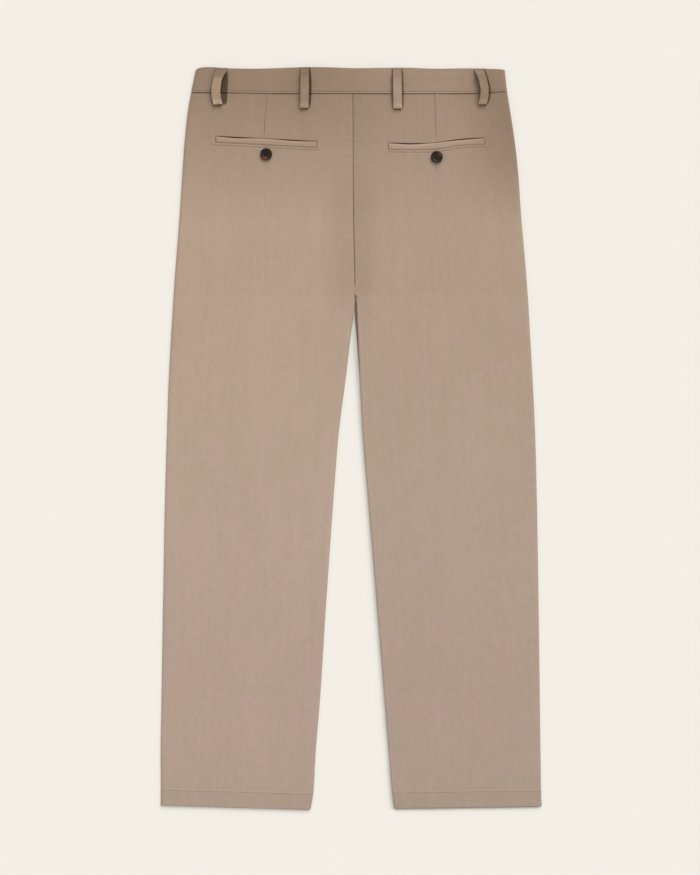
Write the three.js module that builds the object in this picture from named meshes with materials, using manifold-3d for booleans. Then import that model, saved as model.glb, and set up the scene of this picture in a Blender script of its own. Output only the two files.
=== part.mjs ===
// Straight-leg chino trousers laid out flat, back side up: two back panels lie on two front panels, one
// waistband goes round the top and laps over itself at the centre front, and belt loops, pocket welts and
// buttons lie on the cloth. Left and right are the wearer's, which is also how they look from behind.
// Millimetres. +X runs to the wearer's right, +Y from the hems to the waist, +Z up off the surface at z = 0.
// "down" is the distance below the waist's top edge, and "across" is x.
import * as THREE from 'three';
import { mergeVertices } from 'three/addons/utils/BufferGeometryUtils.js';
import Module from 'manifold-3d';

const LENGTH = 1036;             // waist to hem
const ORIGIN_DOWN = 519;         // the origin lies this far below the waist's highest edge
const CLOTH = 1.3;               // wall of a back panel
const FRONT_CLOTH = 1.2;         // wall of a front panel
const HEM_DEPTH = 22;            // turned-up hem at each leg's end
const HEM_EXTRA = 0.5;           // how much thicker the hem's folded cloth is
const HEM_OUT = 0.6;             // share of that which stands out on the back
const HEM_SLOPE = 2;             // length over which the hem's thickness comes in
const SEAM_GAP = 0.3;            // clear space between two sewn pieces
const FACET_ROOM = 0.1;          // added to it where flat facets follow a curve
const FRONT_INSET = 2.5;         // a front panel's edge lies this far inside the outline
const HEM_INSET = 1.3;           // and this much further at the hem, inside the back's thicker cloth
const EDGE_ROLL = 4.5;           // how far a leg's rounded edge reaches in from the outline
const SEAM_DIP = 1.0;            // how far the seat seam lies below the cloth beside it
const SEAM_ROLL = 6;             // width of that dip on each side
const CROTCH = 318;              // where the legs part
const CROTCH_EASE = 16;          // length over which the seat seam opens into two rolled edges

const BAND_DEPTH = 37;           // waistband, top edge to seam
const BAND_CLOTH = 1.8;          // waistband wall, two layers and interlining
const BAND_STEP = 0.8;           // how far the waistband stands above the panels
const BAND_FOLD = 5;             // how far its side folds reach in
const BAND_LAP = 40;             // right end passes behind the left end at the centre front
const LAP_RAMP = { from: 3, to: 16 };   // where it climbs, past the centre front
const FRONT_CENTRE = 2.4;        // the centre front, across

const LOOP_WIDTH = 12.5;
const LOOP_CLOTH = 1.5;
const LOOP_START = 0.8;          // a back loop starts this far below the waist's edge
const LOOP_FOOT = 3.5;           // stitched-down length at each end of a loop
const LOOP_RAMP = 9;             // length over which it rises from its foot
const LOOP_STEP = { from: 1, to: 5 };   // where its foot steps down from the waistband, below the seam
const FRONT_LOOP_START = 3;
const FRONT_LOOP_END = 57;
const FRONT_LOOP_CLOTH = 1.2;

const WELT_CLOTH = 1;
const WELT_DEPTH = 9.3;          // pocket mouth to lower seam

const BUTTON_RADIUS = 8.25;      // 26-line button
const BUTTON_THICK = 3.2;
const WAIST_BUTTON_RADIUS = 8.5;
const WAIST_BUTTON_THICK = 2.5;
const WAIST_BUTTON_ACROSS = FRONT_CENTRE - 14;
const WAIST_BUTTON_DOWN = 18;

const SHIELD_CLOTH = 1;
const SHIELD_WIDTH = 38;         // fly shield, from the centre front to its free edge
const SHIELD_SEAM = 6;           // and how far it lies over the right front
const SHIELD_STRAIGHT = 150;     // down to where its lower end starts to curve
const SHIELD_END = 205;          // down to where the curve meets the centre front

// The outline seen from behind, and the height of the cloth's top. Above the crotch the inner edges are the
// two sides of the seat seam.
const SECTIONS = [
  { name: 'waist',        down: 0,    left: -218.6, leftIn: 2.0,   rightIn: 2.4,  right: 214.8, height: 6.2 },
  { name: 'waist seam',   down: 37,   left: -225.4, leftIn: 2.3,   rightIn: 2.7,  right: 218.9, height: 6.1 },
  { name: 'high hip',     down: 60,   left: -229.6, leftIn: 2.6,   rightIn: 3.0,  right: 222.6, height: 6.1 },
  { name: 'pocket',       down: 102,  left: -233.9, leftIn: 3.1,   rightIn: 3.5,  right: 228.4, height: 6.1 },
  { name: 'hip',          down: 144,  left: -236.8, leftIn: 3.5,   rightIn: 3.9,  right: 232.9, height: 6.0 },
  { name: 'seat',         down: 206,  left: -240.8, leftIn: 4.2,   rightIn: 4.6,  right: 237.6, height: 5.8 },
  { name: 'above crotch', down: 282,  left: -246.5, leftIn: 5.0,   rightIn: 5.4,  right: 244.4, height: 5.2 },
  { name: 'seam end',     down: 306,  left: -248.1, leftIn: 5.3,   rightIn: 5.7,  right: 246.1, height: 4.9 },
  { name: 'crotch',       down: 318,  left: -248.9, leftIn: 5.5,   rightIn: 6.1,  right: 246.9, height: 4.7 },
  { name: 'fork',         down: 330,  left: -249.7, leftIn: 4.9,   rightIn: 7.9,  right: 247.7, height: 4.6 },
  { name: 'inner thigh',  down: 347,  left: -250.7, leftIn: 2.9,   rightIn: 8.8,  right: 248.7, height: 4.5 },
  { name: 'thigh',        down: 368,  left: -252.0, leftIn: -0.1,  rightIn: 9.8,  right: 249.8, height: 4.4 },
  { name: 'mid thigh',    down: 402,  left: -253.9, leftIn: -4.2,  rightIn: 11.5, right: 251.6, height: 4.3 },
  { name: 'low thigh',    down: 437,  left: -255.9, leftIn: -8.4,  rightIn: 13.0, right: 253.4, height: 4.2 },
  { name: 'above knee',   down: 507,  left: -258.6, leftIn: -17.5, rightIn: 15.7, right: 256.6, height: 4.1 },
  { name: 'knee',         down: 612,  left: -261.4, leftIn: -25.8, rightIn: 23.6, right: 259.9, height: 4.0 },
  { name: 'calf',         down: 752,  left: -263.8, leftIn: -35.6, rightIn: 36.6, right: 262.2, height: 3.9 },
  { name: 'shin',         down: 892,  left: -265.8, leftIn: -44.9, rightIn: 48.4, right: 263.8, height: 3.8 },
  { name: 'ankle',        down: 962,  left: -266.6, leftIn: -51.0, rightIn: 53.3, right: 264.8, height: 3.8 },
  { name: 'hem',          down: 1016, left: -266.5, leftIn: -54.6, rightIn: 57.3, right: 265.8, height: 3.8 },
  { name: 'leg end',      down: 1036, left: -266.8, leftIn: -58.2, rightIn: 60.7, right: 266.8, height: 3.8 },
];

// The waist's top edge is a little uneven: how far each place lies below the highest.
const WAIST_EDGE = [
  { across: -219, sag: 2.6 },
  { across: -203, sag: 0.2 },
  { across: -130, sag: 2.2 },
  { across: -68,  sag: 0.0 },
  { across: 2,    sag: 1.6 },
  { across: 58,   sag: 0.6 },
  { across: 112,  sag: 2.4 },
  { across: 165,  sag: 1.8 },
  { across: 215,  sag: 3.4 },
];

// The waistband's lower edge rises at the sides.
const BAND_EDGE = [
  { across: -226, down: 35.2 },
  { across: -190, down: 35.4 },
  { across: -110, down: 36.6 },
  { across: 0,    down: 37.0 },
  { across: 110,  down: 36.8 },
  { across: 170,  down: 36.4 },
  { across: 219,  down: 33.6 },
];

// Where each leg's end lies, at its outer and inner corner.
const LEG_ENDS = { left: { outer: 1033, inner: 1038 }, right: { outer: 1034.6, inner: 1036.2 } };

// Soft ridges (rise above 0) and troughs (below 0): centre, full length, half width and turn from upright.
const FOLDS = [
  { name: 'right of the seat seam', across: 20,   down: 210, length: 300, width: 26, turn: -3, rise: -0.6 },
  { name: 'left of the seat seam',  across: -14,  down: 235, length: 190, width: 20, turn: 2,  rise: -0.4 },
  { name: 'left seat',              across: -95,  down: 230, length: 260, width: 62, turn: 6,  rise: 0.5 },
  { name: 'right seat',             across: 100,  down: 240, length: 260, width: 60, turn: -6, rise: 0.4 },
  { name: 'left hip slack',         across: -205, down: 150, length: 190, width: 20, turn: 4,  rise: -0.5 },
  { name: 'right hip slack',        across: 200,  down: 130, length: 220, width: 24, turn: -5, rise: -0.7 },
  { name: 'left knee',              across: -150, down: 560, length: 360, width: 46, turn: 3,  rise: 0.4 },
  { name: 'right knee',             across: 140,  down: 600, length: 380, width: 44, turn: -4, rise: 0.4 },
  { name: 'left calf',              across: -205, down: 820, length: 330, width: 30, turn: 0,  rise: 0.35 },
  { name: 'right inner calf',       across: 100,  down: 850, length: 340, width: 28, turn: -6, rise: -0.35 },
];

// Belt loops on the back: the middle of each foot, how far it leans aside and stands off at half its length.
const BACK_LOOPS = [
  { name: 'belt_loop_outer_left',  top: -183.6, foot: -185.4, end: 52.6, lean: -4.6, rise: 7.2 },
  { name: 'belt_loop_inner_left',  top: -64.4,  foot: -65.0,  end: 57.8, lean: 0.3,  rise: 4.9 },
  { name: 'belt_loop_inner_right', top: 65.1,   foot: 65.9,   end: 58.2, lean: -0.4, rise: 4.9 },
  { name: 'belt_loop_outer_right', top: 179.9,  foot: 184.6,  end: 52.4, lean: 4.8,  rise: 7.2 },
];

// Belt loops on the front, which the trousers lie on.
const FRONT_LOOPS = [
  { name: 'belt_loop_front_left',  across: -112 },
  { name: 'belt_loop_front_right', across: 116 },
];

// Pocket mouths, as three places along each upper edge, and the button below it.
const POCKETS = [
  {
    name: 'left',
    mouth: [{ across: -189, down: 96.4 }, { across: -119, down: 100.2 }, { across: -48.4, down: 103.6 }],
    button: { across: -118.6, down: 121.6 },
  },
  {
    name: 'right',
    mouth: [{ across: 52.8, down: 105.6 }, { across: 119, down: 104.6 }, { across: 187, down: 98.9 }],
    button: { across: 120.1, down: 125.4 },
  },
];

const CLOTH_COLOUR = 0xa98f79;
const CLOTH_ROUGHNESS = 0.9;
const BUTTON_COLOUR = 0x2f2723;
const BUTTON_ROUGHNESS = 0.35;

// Reads one column of a table at a place between its rows, along a smooth curve through them.
function read(table, key, at, column) {
  const last = table.length - 1;
  const place = THREE.MathUtils.clamp(at, table[0][key], table[last][key]);
  let i = 0;
  while (i < last - 1 && place > table[i + 1][key]) i += 1;
  const [a, b] = [table[i], table[i + 1]];
  const slope = (p, q) => (q[column] - p[column]) / (q[key] - p[key]);
  const span = b[key] - a[key];
  const before = i > 0 ? (slope(table[i - 1], a) + slope(a, b)) / 2 : slope(a, b);
  const after = i < last - 1 ? (slope(a, b) + slope(b, table[i + 2])) / 2 : slope(a, b);
  const t = (place - a[key]) / span;
  const ease = t * t * (3 - 2 * t);
  return a[column] + (b[column] - a[column]) * ease + span * (t - 1) * t * ((t - 1) * before + t * after);
}

const section = (down, column) => read(SECTIONS, 'down', down, column);
const { lerp, smoothstep: smooth } = THREE.MathUtils;

// A level top of height 1 inside a half width, falling smoothly to 0 over its slope.
const mesa = (distance, half, slope) => 1 - smooth(Math.abs(distance), half, half + slope);

// What the pieces under the cloth lift it by: the front belt loops and the waist button.
const LOOP_LIFT = { half: 22, slope: 26, past: 6, fade: 22, lift: FRONT_LOOP_CLOTH + SEAM_GAP };
const BUTTON_LIFT = { half: 18, slope: 24, lift: WAIST_BUTTON_THICK + SEAM_GAP + FACET_ROOM };

function underside(across, down) {
  const loops = FRONT_LOOPS.map((loop) => LOOP_LIFT.lift
    * mesa(across - loop.across, LOOP_LIFT.half, LOOP_LIFT.slope)
    * mesa(down, FRONT_LOOP_END + LOOP_LIFT.past, LOOP_LIFT.fade));
  const reach = Math.hypot(across - WAIST_BUTTON_ACROSS, down - WAIST_BUTTON_DOWN);
  const button = BUTTON_LIFT.lift * mesa(reach, BUTTON_LIFT.half, BUTTON_LIFT.slope);
  return Math.max(button, ...loops);
}

// The lapped waistband ends and the button under them raise the back's middle.
const LAP_RISE = { across: WAIST_BUTTON_ACROSS, half: 34, slope: 52, fadeFrom: 30, fadeTo: 120, rise: 2.6 };

function lapRise(across, down) {
  return LAP_RISE.rise * mesa(across - LAP_RISE.across, LAP_RISE.half, LAP_RISE.slope)
    * (1 - smooth(down, LAP_RISE.fadeFrom, LAP_RISE.fadeTo));
}

function foldRise(across, down) {
  return FOLDS.reduce((sum, fold) => {
    const turn = THREE.MathUtils.degToRad(fold.turn);
    const [dx, dy] = [across - fold.across, down - fold.down];
    const along = dy * Math.cos(turn) - dx * Math.sin(turn);
    const aside = dx * Math.cos(turn) + dy * Math.sin(turn);
    return sum + fold.rise * Math.exp(-((aside / fold.width) ** 2)) * mesa(along, 0, fold.length / 2);
  }, 0);
}

// The top of the back panels away from their edges, and the top of the waistband.
const clothTop = (across, down) => section(down, 'height') + lapRise(across, down) + foldRise(across, down);
const bandTop = (across) => clothTop(across, BAND_DEPTH) + BAND_STEP;

// How much thicker the cloth is at the turned-up hem.
const HEM_TOP = LENGTH - HEM_DEPTH;
const hemExtra = (down) => HEM_EXTRA * smooth(down, HEM_TOP - HEM_SLOPE, HEM_TOP);

// How far a front panel's edge lies inside the outline.
const HEM_LEAD = HEM_TOP - 3 * HEM_SLOPE;
const frontInset = (down) => FRONT_INSET + HEM_INSET * smooth(down, HEM_LEAD, HEM_TOP - HEM_SLOPE);

// A closed wall between two grids of points. Rows run down and columns run to +X on a piece that faces up.
function wall(outer, inner) {
  const [rows, columns] = [outer.length, outer[0].length];
  const points = [...outer.flat(), ...inner.flat()];
  const top = (r, c) => r * columns + c;
  const under = (r, c) => rows * columns + top(r, c);
  const index = [];
  const quad = (a, b, c, d) => index.push(a, b, c, a, c, d);
  for (let r = 0; r < rows - 1; r += 1) {
    for (let c = 0; c < columns - 1; c += 1) {
      quad(top(r, c), top(r + 1, c), top(r + 1, c + 1), top(r, c + 1));
      quad(under(r, c), under(r, c + 1), under(r + 1, c + 1), under(r + 1, c));
    }
    quad(top(r + 1, 0), top(r, 0), under(r, 0), under(r + 1, 0));
    quad(top(r, columns - 1), top(r + 1, columns - 1), under(r + 1, columns - 1), under(r, columns - 1));
  }
  for (let c = 0; c < columns - 1; c += 1) {
    quad(top(0, c), top(0, c + 1), under(0, c + 1), under(0, c));
    quad(top(rows - 1, c + 1), top(rows - 1, c), under(rows - 1, c), under(rows - 1, c + 1));
  }
  const geometry = new THREE.BufferGeometry();
  geometry.setAttribute('position', new THREE.Float32BufferAttribute(points.flatMap((p) => p.toArray()), 3));
  geometry.setIndex(index);
  geometry.computeVertexNormals();
  return geometry;
}

const at = (across, down, z) => new THREE.Vector3(across, ORIGIN_DOWN - down, z);

function steps(from, to, count) {
  return Array.from({ length: count + 1 }, (_, i) => lerp(from, to, i / count));
}

// Divides each stretch down a piece evenly into its number of rows.
function rowPlaces(stretches) {
  const last = stretches.at(-1).from;
  const divided = stretches.slice(0, -1).flatMap(({ from, rows }, i) => {
    const next = stretches[i + 1].from;
    return steps(from, next, rows).slice(0, -1);
  });
  return [...divided, last];
}

// Rows of a back panel, closer at the waist, the crotch and the hem.
const BACK_ROWS = rowPlaces([
  { from: BAND_DEPTH, rows: 3 },
  { from: 80, rows: 3 },
  { from: 150, rows: 4 },
  { from: CROTCH - 26, rows: 1 },
  { from: CROTCH - 12, rows: 2 },
  { from: CROTCH + 4, rows: 2 },
  { from: CROTCH + 38, rows: 3 },
  { from: 455, rows: 9 },
  { from: HEM_TOP - HEM_SLOPE, rows: 1 },
  { from: HEM_TOP, rows: 1 },
  { from: LENGTH },
]);

// Below the first and above the second of these places a row is level.
const TOP_EASE = 100;
const END_EASE = 850;

// The "down" of the table becomes a place on the panel, whose top follows the waistband and whose end follows
// the leg's slant.
function seated(across, down, leg, share) {
  const atTop = 1 - smooth(down, BAND_DEPTH, TOP_EASE);
  const atEnd = smooth(down, END_EASE, LENGTH);
  const bandEdge = read(BAND_EDGE, 'across', across, 'down') + SEAM_GAP;
  const legEnd = lerp(LEG_ENDS[leg].outer, LEG_ENDS[leg].inner, share);
  return down + atTop * (bandEdge - BAND_DEPTH) + atEnd * (legEnd - LENGTH);
}

// One back panel, from the rolled side edge to the seat seam and the rolled inner edge of the leg.
function backPanel(leg) {
  const side = leg === 'left' ? -1 : 1;
  const rollAngles = steps(0, Math.PI / 2, 4);
  const flat = steps(0, 1, 9).slice(1, -1);
  const outer = [];
  const inner = [];
  for (const down of BACK_ROWS) {
    const outerEdge = section(down, leg);
    const innerEdge = section(down, `${leg}In`);
    const open = smooth(down, CROTCH - CROTCH_EASE, CROTCH);
    const seamRoll = lerp(SEAM_ROLL, EDGE_ROLL, open);
    const hem = hemExtra(down);
    const columns = [];
    const place = (across, share, edgeHeight, lift, lean) => {
      const top = clothTop(across, down) + hem * HEM_OUT;
      const z = lerp(edgeHeight(top), top, lift);
      const wallThick = CLOTH + hem;
      const y = seated(across, down, leg, share);
      const under = at(across - lean.x * wallThick, y, Math.max(z - lean.y * wallThick, 0));
      columns.push([at(across, y, z), under]);
    };
    const ground = () => 0;
    const rollLean = (facing, angle) => new THREE.Vector2(
      facing * Math.cos(angle) / EDGE_ROLL,
      Math.sin(angle) / section(down, 'height'),
    ).normalize();
    for (const angle of rollAngles) {
      const across = outerEdge - side * EDGE_ROLL * (1 - Math.cos(angle));
      place(across, 0, ground, Math.sin(angle), rollLean(side, angle));
    }
    const [from, to] = [outerEdge - side * EDGE_ROLL, innerEdge + side * seamRoll];
    for (const share of flat) {
      place(lerp(from, to, share), share, ground, 1, new THREE.Vector2(0, 1));
    }
    const seamHeight = (top) => (top - SEAM_DIP) * (1 - open);
    for (const angle of rollAngles.toReversed()) {
      const lean = new THREE.Vector2(0, 1).lerp(rollLean(-side, angle), open).normalize();
      place(innerEdge + side * seamRoll * (1 - Math.cos(angle)), 1, seamHeight, Math.sin(angle), lean);
    }
    if (side > 0) columns.reverse();
    outer.push(columns.map(([top]) => top));
    inner.push(columns.map(([, under]) => under));
  }
  return wall(outer, inner);
}

// A piece of the front: a level wall over the surface, lifted only over the loops and the waist button.
function underPanel({ rows, edges, leg, columns, cloth = FRONT_CLOTH, raised = 0 }) {
  const outer = [];
  const inner = [];
  for (const down of rows) {
    const [low, high] = edges(down);
    const across = steps(low, high, columns);
    const share = (i) => (leg === 'left' ? i / columns : 1 - i / columns);
    const under = across.map((x, i) => at(x, seated(x, down, leg, share(i)), underside(x, down) + raised));
    outer.push(under.map((p) => p.clone().setZ(p.z + cloth + hemExtra(down))));
    inner.push(under);
  }
  return wall(outer, inner);
}

// A front's inner edge is the centre front, which meets the seat seam at the crotch, and below that it lies
// inside the back panel's rolled edge.
const CENTRE_DRIFT = { from: 40, to: 260 };

function frontInner(down, leg) {
  const side = leg === 'left' ? -1 : 1;
  const open = smooth(down, CROTCH - 2 * CROTCH_EASE, CROTCH - CROTCH_EASE);
  const rolledIn = section(down, `${leg}In`) + side * frontInset(down);
  const seatSeam = section(down, 'leftIn') + SEAM_GAP;
  const centre = lerp(FRONT_CENTRE, seatSeam, smooth(down, CENTRE_DRIFT.from, CENTRE_DRIFT.to));
  return lerp(centre + side * SEAM_GAP / 2, rolledIn, open);
}

const frontOuter = (down, leg) => section(down, leg) + (leg === 'left' ? 1 : -1) * frontInset(down);

const FRONT_ROWS = rowPlaces([
  { from: BAND_DEPTH, rows: 4 },
  { from: 65, rows: 3 },
  { from: 102, rows: 4 },
  { from: CROTCH - 40, rows: 3 },
  { from: CROTCH - CROTCH_EASE, rows: 1 },
  { from: CROTCH + 4, rows: 3 },
  { from: 440, rows: 7 },
  { from: HEM_TOP - 3 * HEM_SLOPE, rows: 1 },
  { from: HEM_TOP - HEM_SLOPE, rows: 1 },
  { from: HEM_TOP, rows: 1 },
  { from: LENGTH },
]);

function frontPanel(leg) {
  const edges = (down) => [frontOuter(down, leg), frontInner(down, leg)].sort((a, b) => a - b);
  return underPanel({ rows: FRONT_ROWS, edges, leg, columns: 14 });
}

// The fly shield lies inside, behind the left front, and is sewn along the right front's edge.
function flyShield() {
  const width = (down) => {
    const t = THREE.MathUtils.clamp((down - SHIELD_STRAIGHT) / (SHIELD_END - SHIELD_STRAIGHT), 0, 1);
    return SHIELD_WIDTH * Math.sqrt(1 - t * t);
  };
  const rows = rowPlaces([
    { from: BAND_DEPTH, rows: 4 },
    { from: 65, rows: 3 },
    { from: 102, rows: 1 },
    { from: SHIELD_STRAIGHT, rows: 6 },
    { from: SHIELD_END },
  ]);
  const edges = (down) => [FRONT_CENTRE - width(down), FRONT_CENTRE + SHIELD_SEAM];
  const raised = FRONT_CLOTH + SEAM_GAP + 3 * FACET_ROOM;
  return underPanel({ rows, edges, leg: 'left', columns: 4, cloth: SHIELD_CLOTH, raised });
}

// The waistband is one strip. It starts at the left end on the front, goes round the back and ends behind its
// start.
function waistband() {
  const foldAngles = steps(-Math.PI / 2, Math.PI / 2, 6);
  const half = BAND_CLOTH / 2;
  const rows = [
    { share: 0, slim: 0.45 },
    { share: 0.05, slim: 0 },
    { share: 0.28, slim: 0 },
    { share: 0.72, slim: 0 },
    { share: 1, slim: 0 },
  ];
  const outer = [];
  const inner = [];
  for (const { share, slim } of rows) {
    const outlineDown = share * BAND_DEPTH;
    const [left, right] = [section(outlineDown, 'left'), section(outlineDown, 'right')];
    const down = (across) => lerp(
      read(WAIST_EDGE, 'across', across, 'sag'), read(BAND_EDGE, 'across', across, 'down'), share,
    );
    const low = (across) => underside(across, outlineDown) + half;
    const lapStep = BAND_CLOTH + SEAM_GAP + FACET_ROOM;
    const climb = (across) => 1 - smooth(across - FRONT_CENTRE, LAP_RAMP.from, LAP_RAMP.to);
    const lapped = (across) => low(across) + lapStep * climb(across);
    const high = (across) => bandTop(across) - half;
    const fold = (edge, side, angle) => {
      const centreline = edge - side * half;
      const across = centreline - side * (BAND_FOLD - half) * (1 - Math.cos(angle));
      const turnAt = edge - side * BAND_FOLD;
      const middle = (low(turnAt) + high(turnAt)) / 2;
      return [across, middle + Math.sin(angle) * (high(turnAt) - middle)];
    };
    const [leftTurn, rightTurn, lapStart] = [left + BAND_FOLD, right - BAND_FOLD, FRONT_CENTRE + LAP_RAMP.to];
    const line = [
      ...steps(FRONT_CENTRE, leftTurn, 15).slice(0, -1).map((x) => [x, low(x)]),
      ...foldAngles.map((angle) => fold(left, -1, angle)),
      ...steps(leftTurn, rightTurn, 32).slice(1, -1).map((x) => [x, high(x)]),
      ...foldAngles.toReversed().map((angle) => fold(right, 1, angle)),
      ...steps(rightTurn, lapStart, 14).slice(1, -1).map((x) => [x, lapped(x)]),
      ...steps(lapStart, FRONT_CENTRE - BAND_LAP, 8).map((x) => [x, lapped(x)]),
    ];
    const offset = (sign) => line.map(([x, z], i) => {
      const [p, q] = [line[Math.max(i - 1, 0)], line[Math.min(i + 1, line.length - 1)]];
      const normal = new THREE.Vector2(p[1] - q[1], q[0] - p[0]).setLength(sign * (half - slim));
      return at(x + normal.x, down(x), z + normal.y);
    });
    outer.push(offset(1));
    inner.push(offset(-1));
  }
  return wall(outer, inner);
}

// A belt loop on the back: stitched flat at both ends, standing off the waistband between them.
function loopSurface(across, down) {
  const overBand = 1 - smooth(down - BAND_DEPTH, LOOP_STEP.from, LOOP_STEP.to);
  return lerp(clothTop(across, down), bandTop(across), overBand);
}

function backLoop({ top, foot, end, lean, rise }) {
  const ramp = steps(LOOP_FOOT, LOOP_FOOT + LOOP_RAMP, 3);
  const stand = steps(LOOP_FOOT + LOOP_RAMP, end - LOOP_FOOT - LOOP_RAMP, 4).slice(1, -1);
  const stations = [LOOP_START, ...ramp, ...stand, ...ramp.toReversed().map((place) => end - place), end];
  const outer = [];
  const inner = [];
  for (const down of stations) {
    const start = read(WAIST_EDGE, 'across', top, 'sag');
    const share = (down - LOOP_FOOT) / (end - 2 * LOOP_FOOT);
    const bow = Math.sin(Math.PI * THREE.MathUtils.clamp(share, 0, 1));
    const middle = lerp(top, foot, down / end) + lean * bow;
    const fromFoot = Math.min(down, end - down);
    const off = rise * smooth(fromFoot, LOOP_FOOT, LOOP_FOOT + LOOP_RAMP);
    const places = steps(middle - LOOP_WIDTH / 2, middle + LOOP_WIDTH / 2, 2);
    const rest = Math.max(...places.map((x) => loopSurface(x, down)));
    const z = rest + SEAM_GAP + FACET_ROOM + off;
    const y = down + start * (1 - down / end);
    outer.push(places.map((x) => at(x, y, z + LOOP_CLOTH)));
    inner.push(places.map((x) => at(x, y, z)));
  }
  return wall(outer, inner);
}

// A belt loop on the front lies flat between the cloth and the surface.
function frontLoop({ across }) {
  const loopEdges = steps(across - LOOP_WIDTH / 2, across + LOOP_WIDTH / 2, 2);
  const rows = steps(FRONT_LOOP_START, FRONT_LOOP_END, 2);
  return wall(
    rows.map((down) => loopEdges.map((x) => at(x, down, FRONT_LOOP_CLOTH))),
    rows.map((down) => loopEdges.map((x) => at(x, down, 0))),
  );
}

// A pocket's welt: a folded strip that lies on the back panel below the pocket's mouth.
function welt({ mouth }) {
  const places = steps(mouth[0].across, mouth[2].across, 14);
  const rows = steps(0, 1, 3);
  const surface = (x, share) => {
    const down = read(mouth, 'across', x, 'down') + share * WELT_DEPTH;
    return at(x, down, clothTop(x, down) + SEAM_GAP + FACET_ROOM);
  };
  const inner = rows.map((share) => places.map((x) => surface(x, share)));
  const outer = inner.map((row) => row.map((p) => p.clone().setZ(p.z + WELT_CLOTH)));
  return wall(outer, inner);
}

// The button's holes are cut with manifold-3d, which needs corners at one place to be one point.
const SAME_PLACE = 1e-4;
const wasm = await Module();
wasm.setup();

function solid(geometry) {
  const bare = geometry.clone();
  bare.deleteAttribute('normal');
  bare.deleteAttribute('uv');
  const merged = mergeVertices(bare, SAME_PLACE);
  return new wasm.Manifold(new wasm.Mesh({
    numProp: 3,
    vertProperties: new Float32Array(merged.attributes.position.array),
    triVerts: new Uint32Array(merged.index.array),
  }));
}

function fromSolid(body) {
  const mesh = body.getMesh();
  const geometry = new THREE.BufferGeometry();
  geometry.setAttribute('position', new THREE.BufferAttribute(new Float32Array(mesh.vertProperties), 3));
  geometry.setIndex(new THREE.BufferAttribute(new Uint32Array(mesh.triVerts), 1));
  geometry.computeVertexNormals();
  return geometry;
}

const HOLE_RADIUS = 0.95;
const HOLE_SPACING = 3.2;
const HOLE_SIDES = 10;
const RIM_WIDTH = 2.4;
const DISH_DEPTH = 0.9;
const RIM_ROUND = 0.7;
const BUTTON_SIDES = 24;

// A four-hole button with a raised rim and a dished middle. Its face is up, and its back at z = 0.
function button(radius, thick) {
  const profile = [
    [0, 0],
    [radius - RIM_ROUND, 0],
    [radius, RIM_ROUND],
    [radius, thick - RIM_ROUND],
    [radius - RIM_ROUND, thick],
    [radius - RIM_WIDTH + RIM_ROUND, thick],
    [radius - RIM_WIDTH, thick - DISH_DEPTH],
    [0, thick - DISH_DEPTH],
  ].map(([r, h]) => new THREE.Vector2(r, h));
  let body = solid(new THREE.LatheGeometry(profile, BUTTON_SIDES).rotateX(Math.PI / 2));
  for (const [sx, sy] of [[-1, -1], [-1, 1], [1, -1], [1, 1]]) {
    const hole = new THREE.CylinderGeometry(HOLE_RADIUS, HOLE_RADIUS, thick * 2, HOLE_SIDES);
    hole.rotateX(Math.PI / 2).translate(sx * HOLE_SPACING / 2, sy * HOLE_SPACING / 2, thick / 2);
    body = body.subtract(solid(hole));
  }
  return fromSolid(body);
}

// The highest cloth under a pocket button carries it.
function buttonSeat({ across, down }) {
  const ring = steps(0, 2 * Math.PI, BUTTON_SIDES).map((angle) => clothTop(
    across + BUTTON_RADIUS * Math.cos(angle), down + BUTTON_RADIUS * Math.sin(angle),
  ));
  return Math.max(clothTop(across, down), ...ring) + SEAM_GAP + FACET_ROOM;
}

const trousers = new THREE.Group();

function add(name, geometry, color, roughness) {
  const mesh = new THREE.Mesh(geometry, new THREE.MeshStandardMaterial({ color, roughness, metalness: 0 }));
  mesh.name = name;
  trousers.add(mesh);
  return mesh;
}

const addCloth = (name, geometry) => add(name, geometry, CLOTH_COLOUR, CLOTH_ROUGHNESS);
const addButton = (name, geometry) => add(name, geometry, BUTTON_COLOUR, BUTTON_ROUGHNESS);

addCloth('back_left', backPanel('left'));
addCloth('back_right', backPanel('right'));
addCloth('front_left', frontPanel('left'));
addCloth('front_right', frontPanel('right'));
addCloth('fly_shield', flyShield());
addCloth('waistband', waistband());
for (const loop of BACK_LOOPS) addCloth(loop.name, backLoop(loop));
for (const loop of FRONT_LOOPS) addCloth(loop.name, frontLoop(loop));
for (const pocket of POCKETS) {
  addCloth(`pocket_welt_${pocket.name}`, welt(pocket));
  const pocketButton = addButton(`pocket_button_${pocket.name}`, button(BUTTON_RADIUS, BUTTON_THICK));
  pocketButton.position.copy(at(pocket.button.across, pocket.button.down, buttonSeat(pocket.button)));
}
const waistButton = addButton('waist_button', button(WAIST_BUTTON_RADIUS, WAIST_BUTTON_THICK));
waistButton.rotation.x = Math.PI;
waistButton.position.copy(at(WAIST_BUTTON_ACROSS, WAIST_BUTTON_DOWN, WAIST_BUTTON_THICK));

export default trousers;
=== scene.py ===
import math

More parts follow.
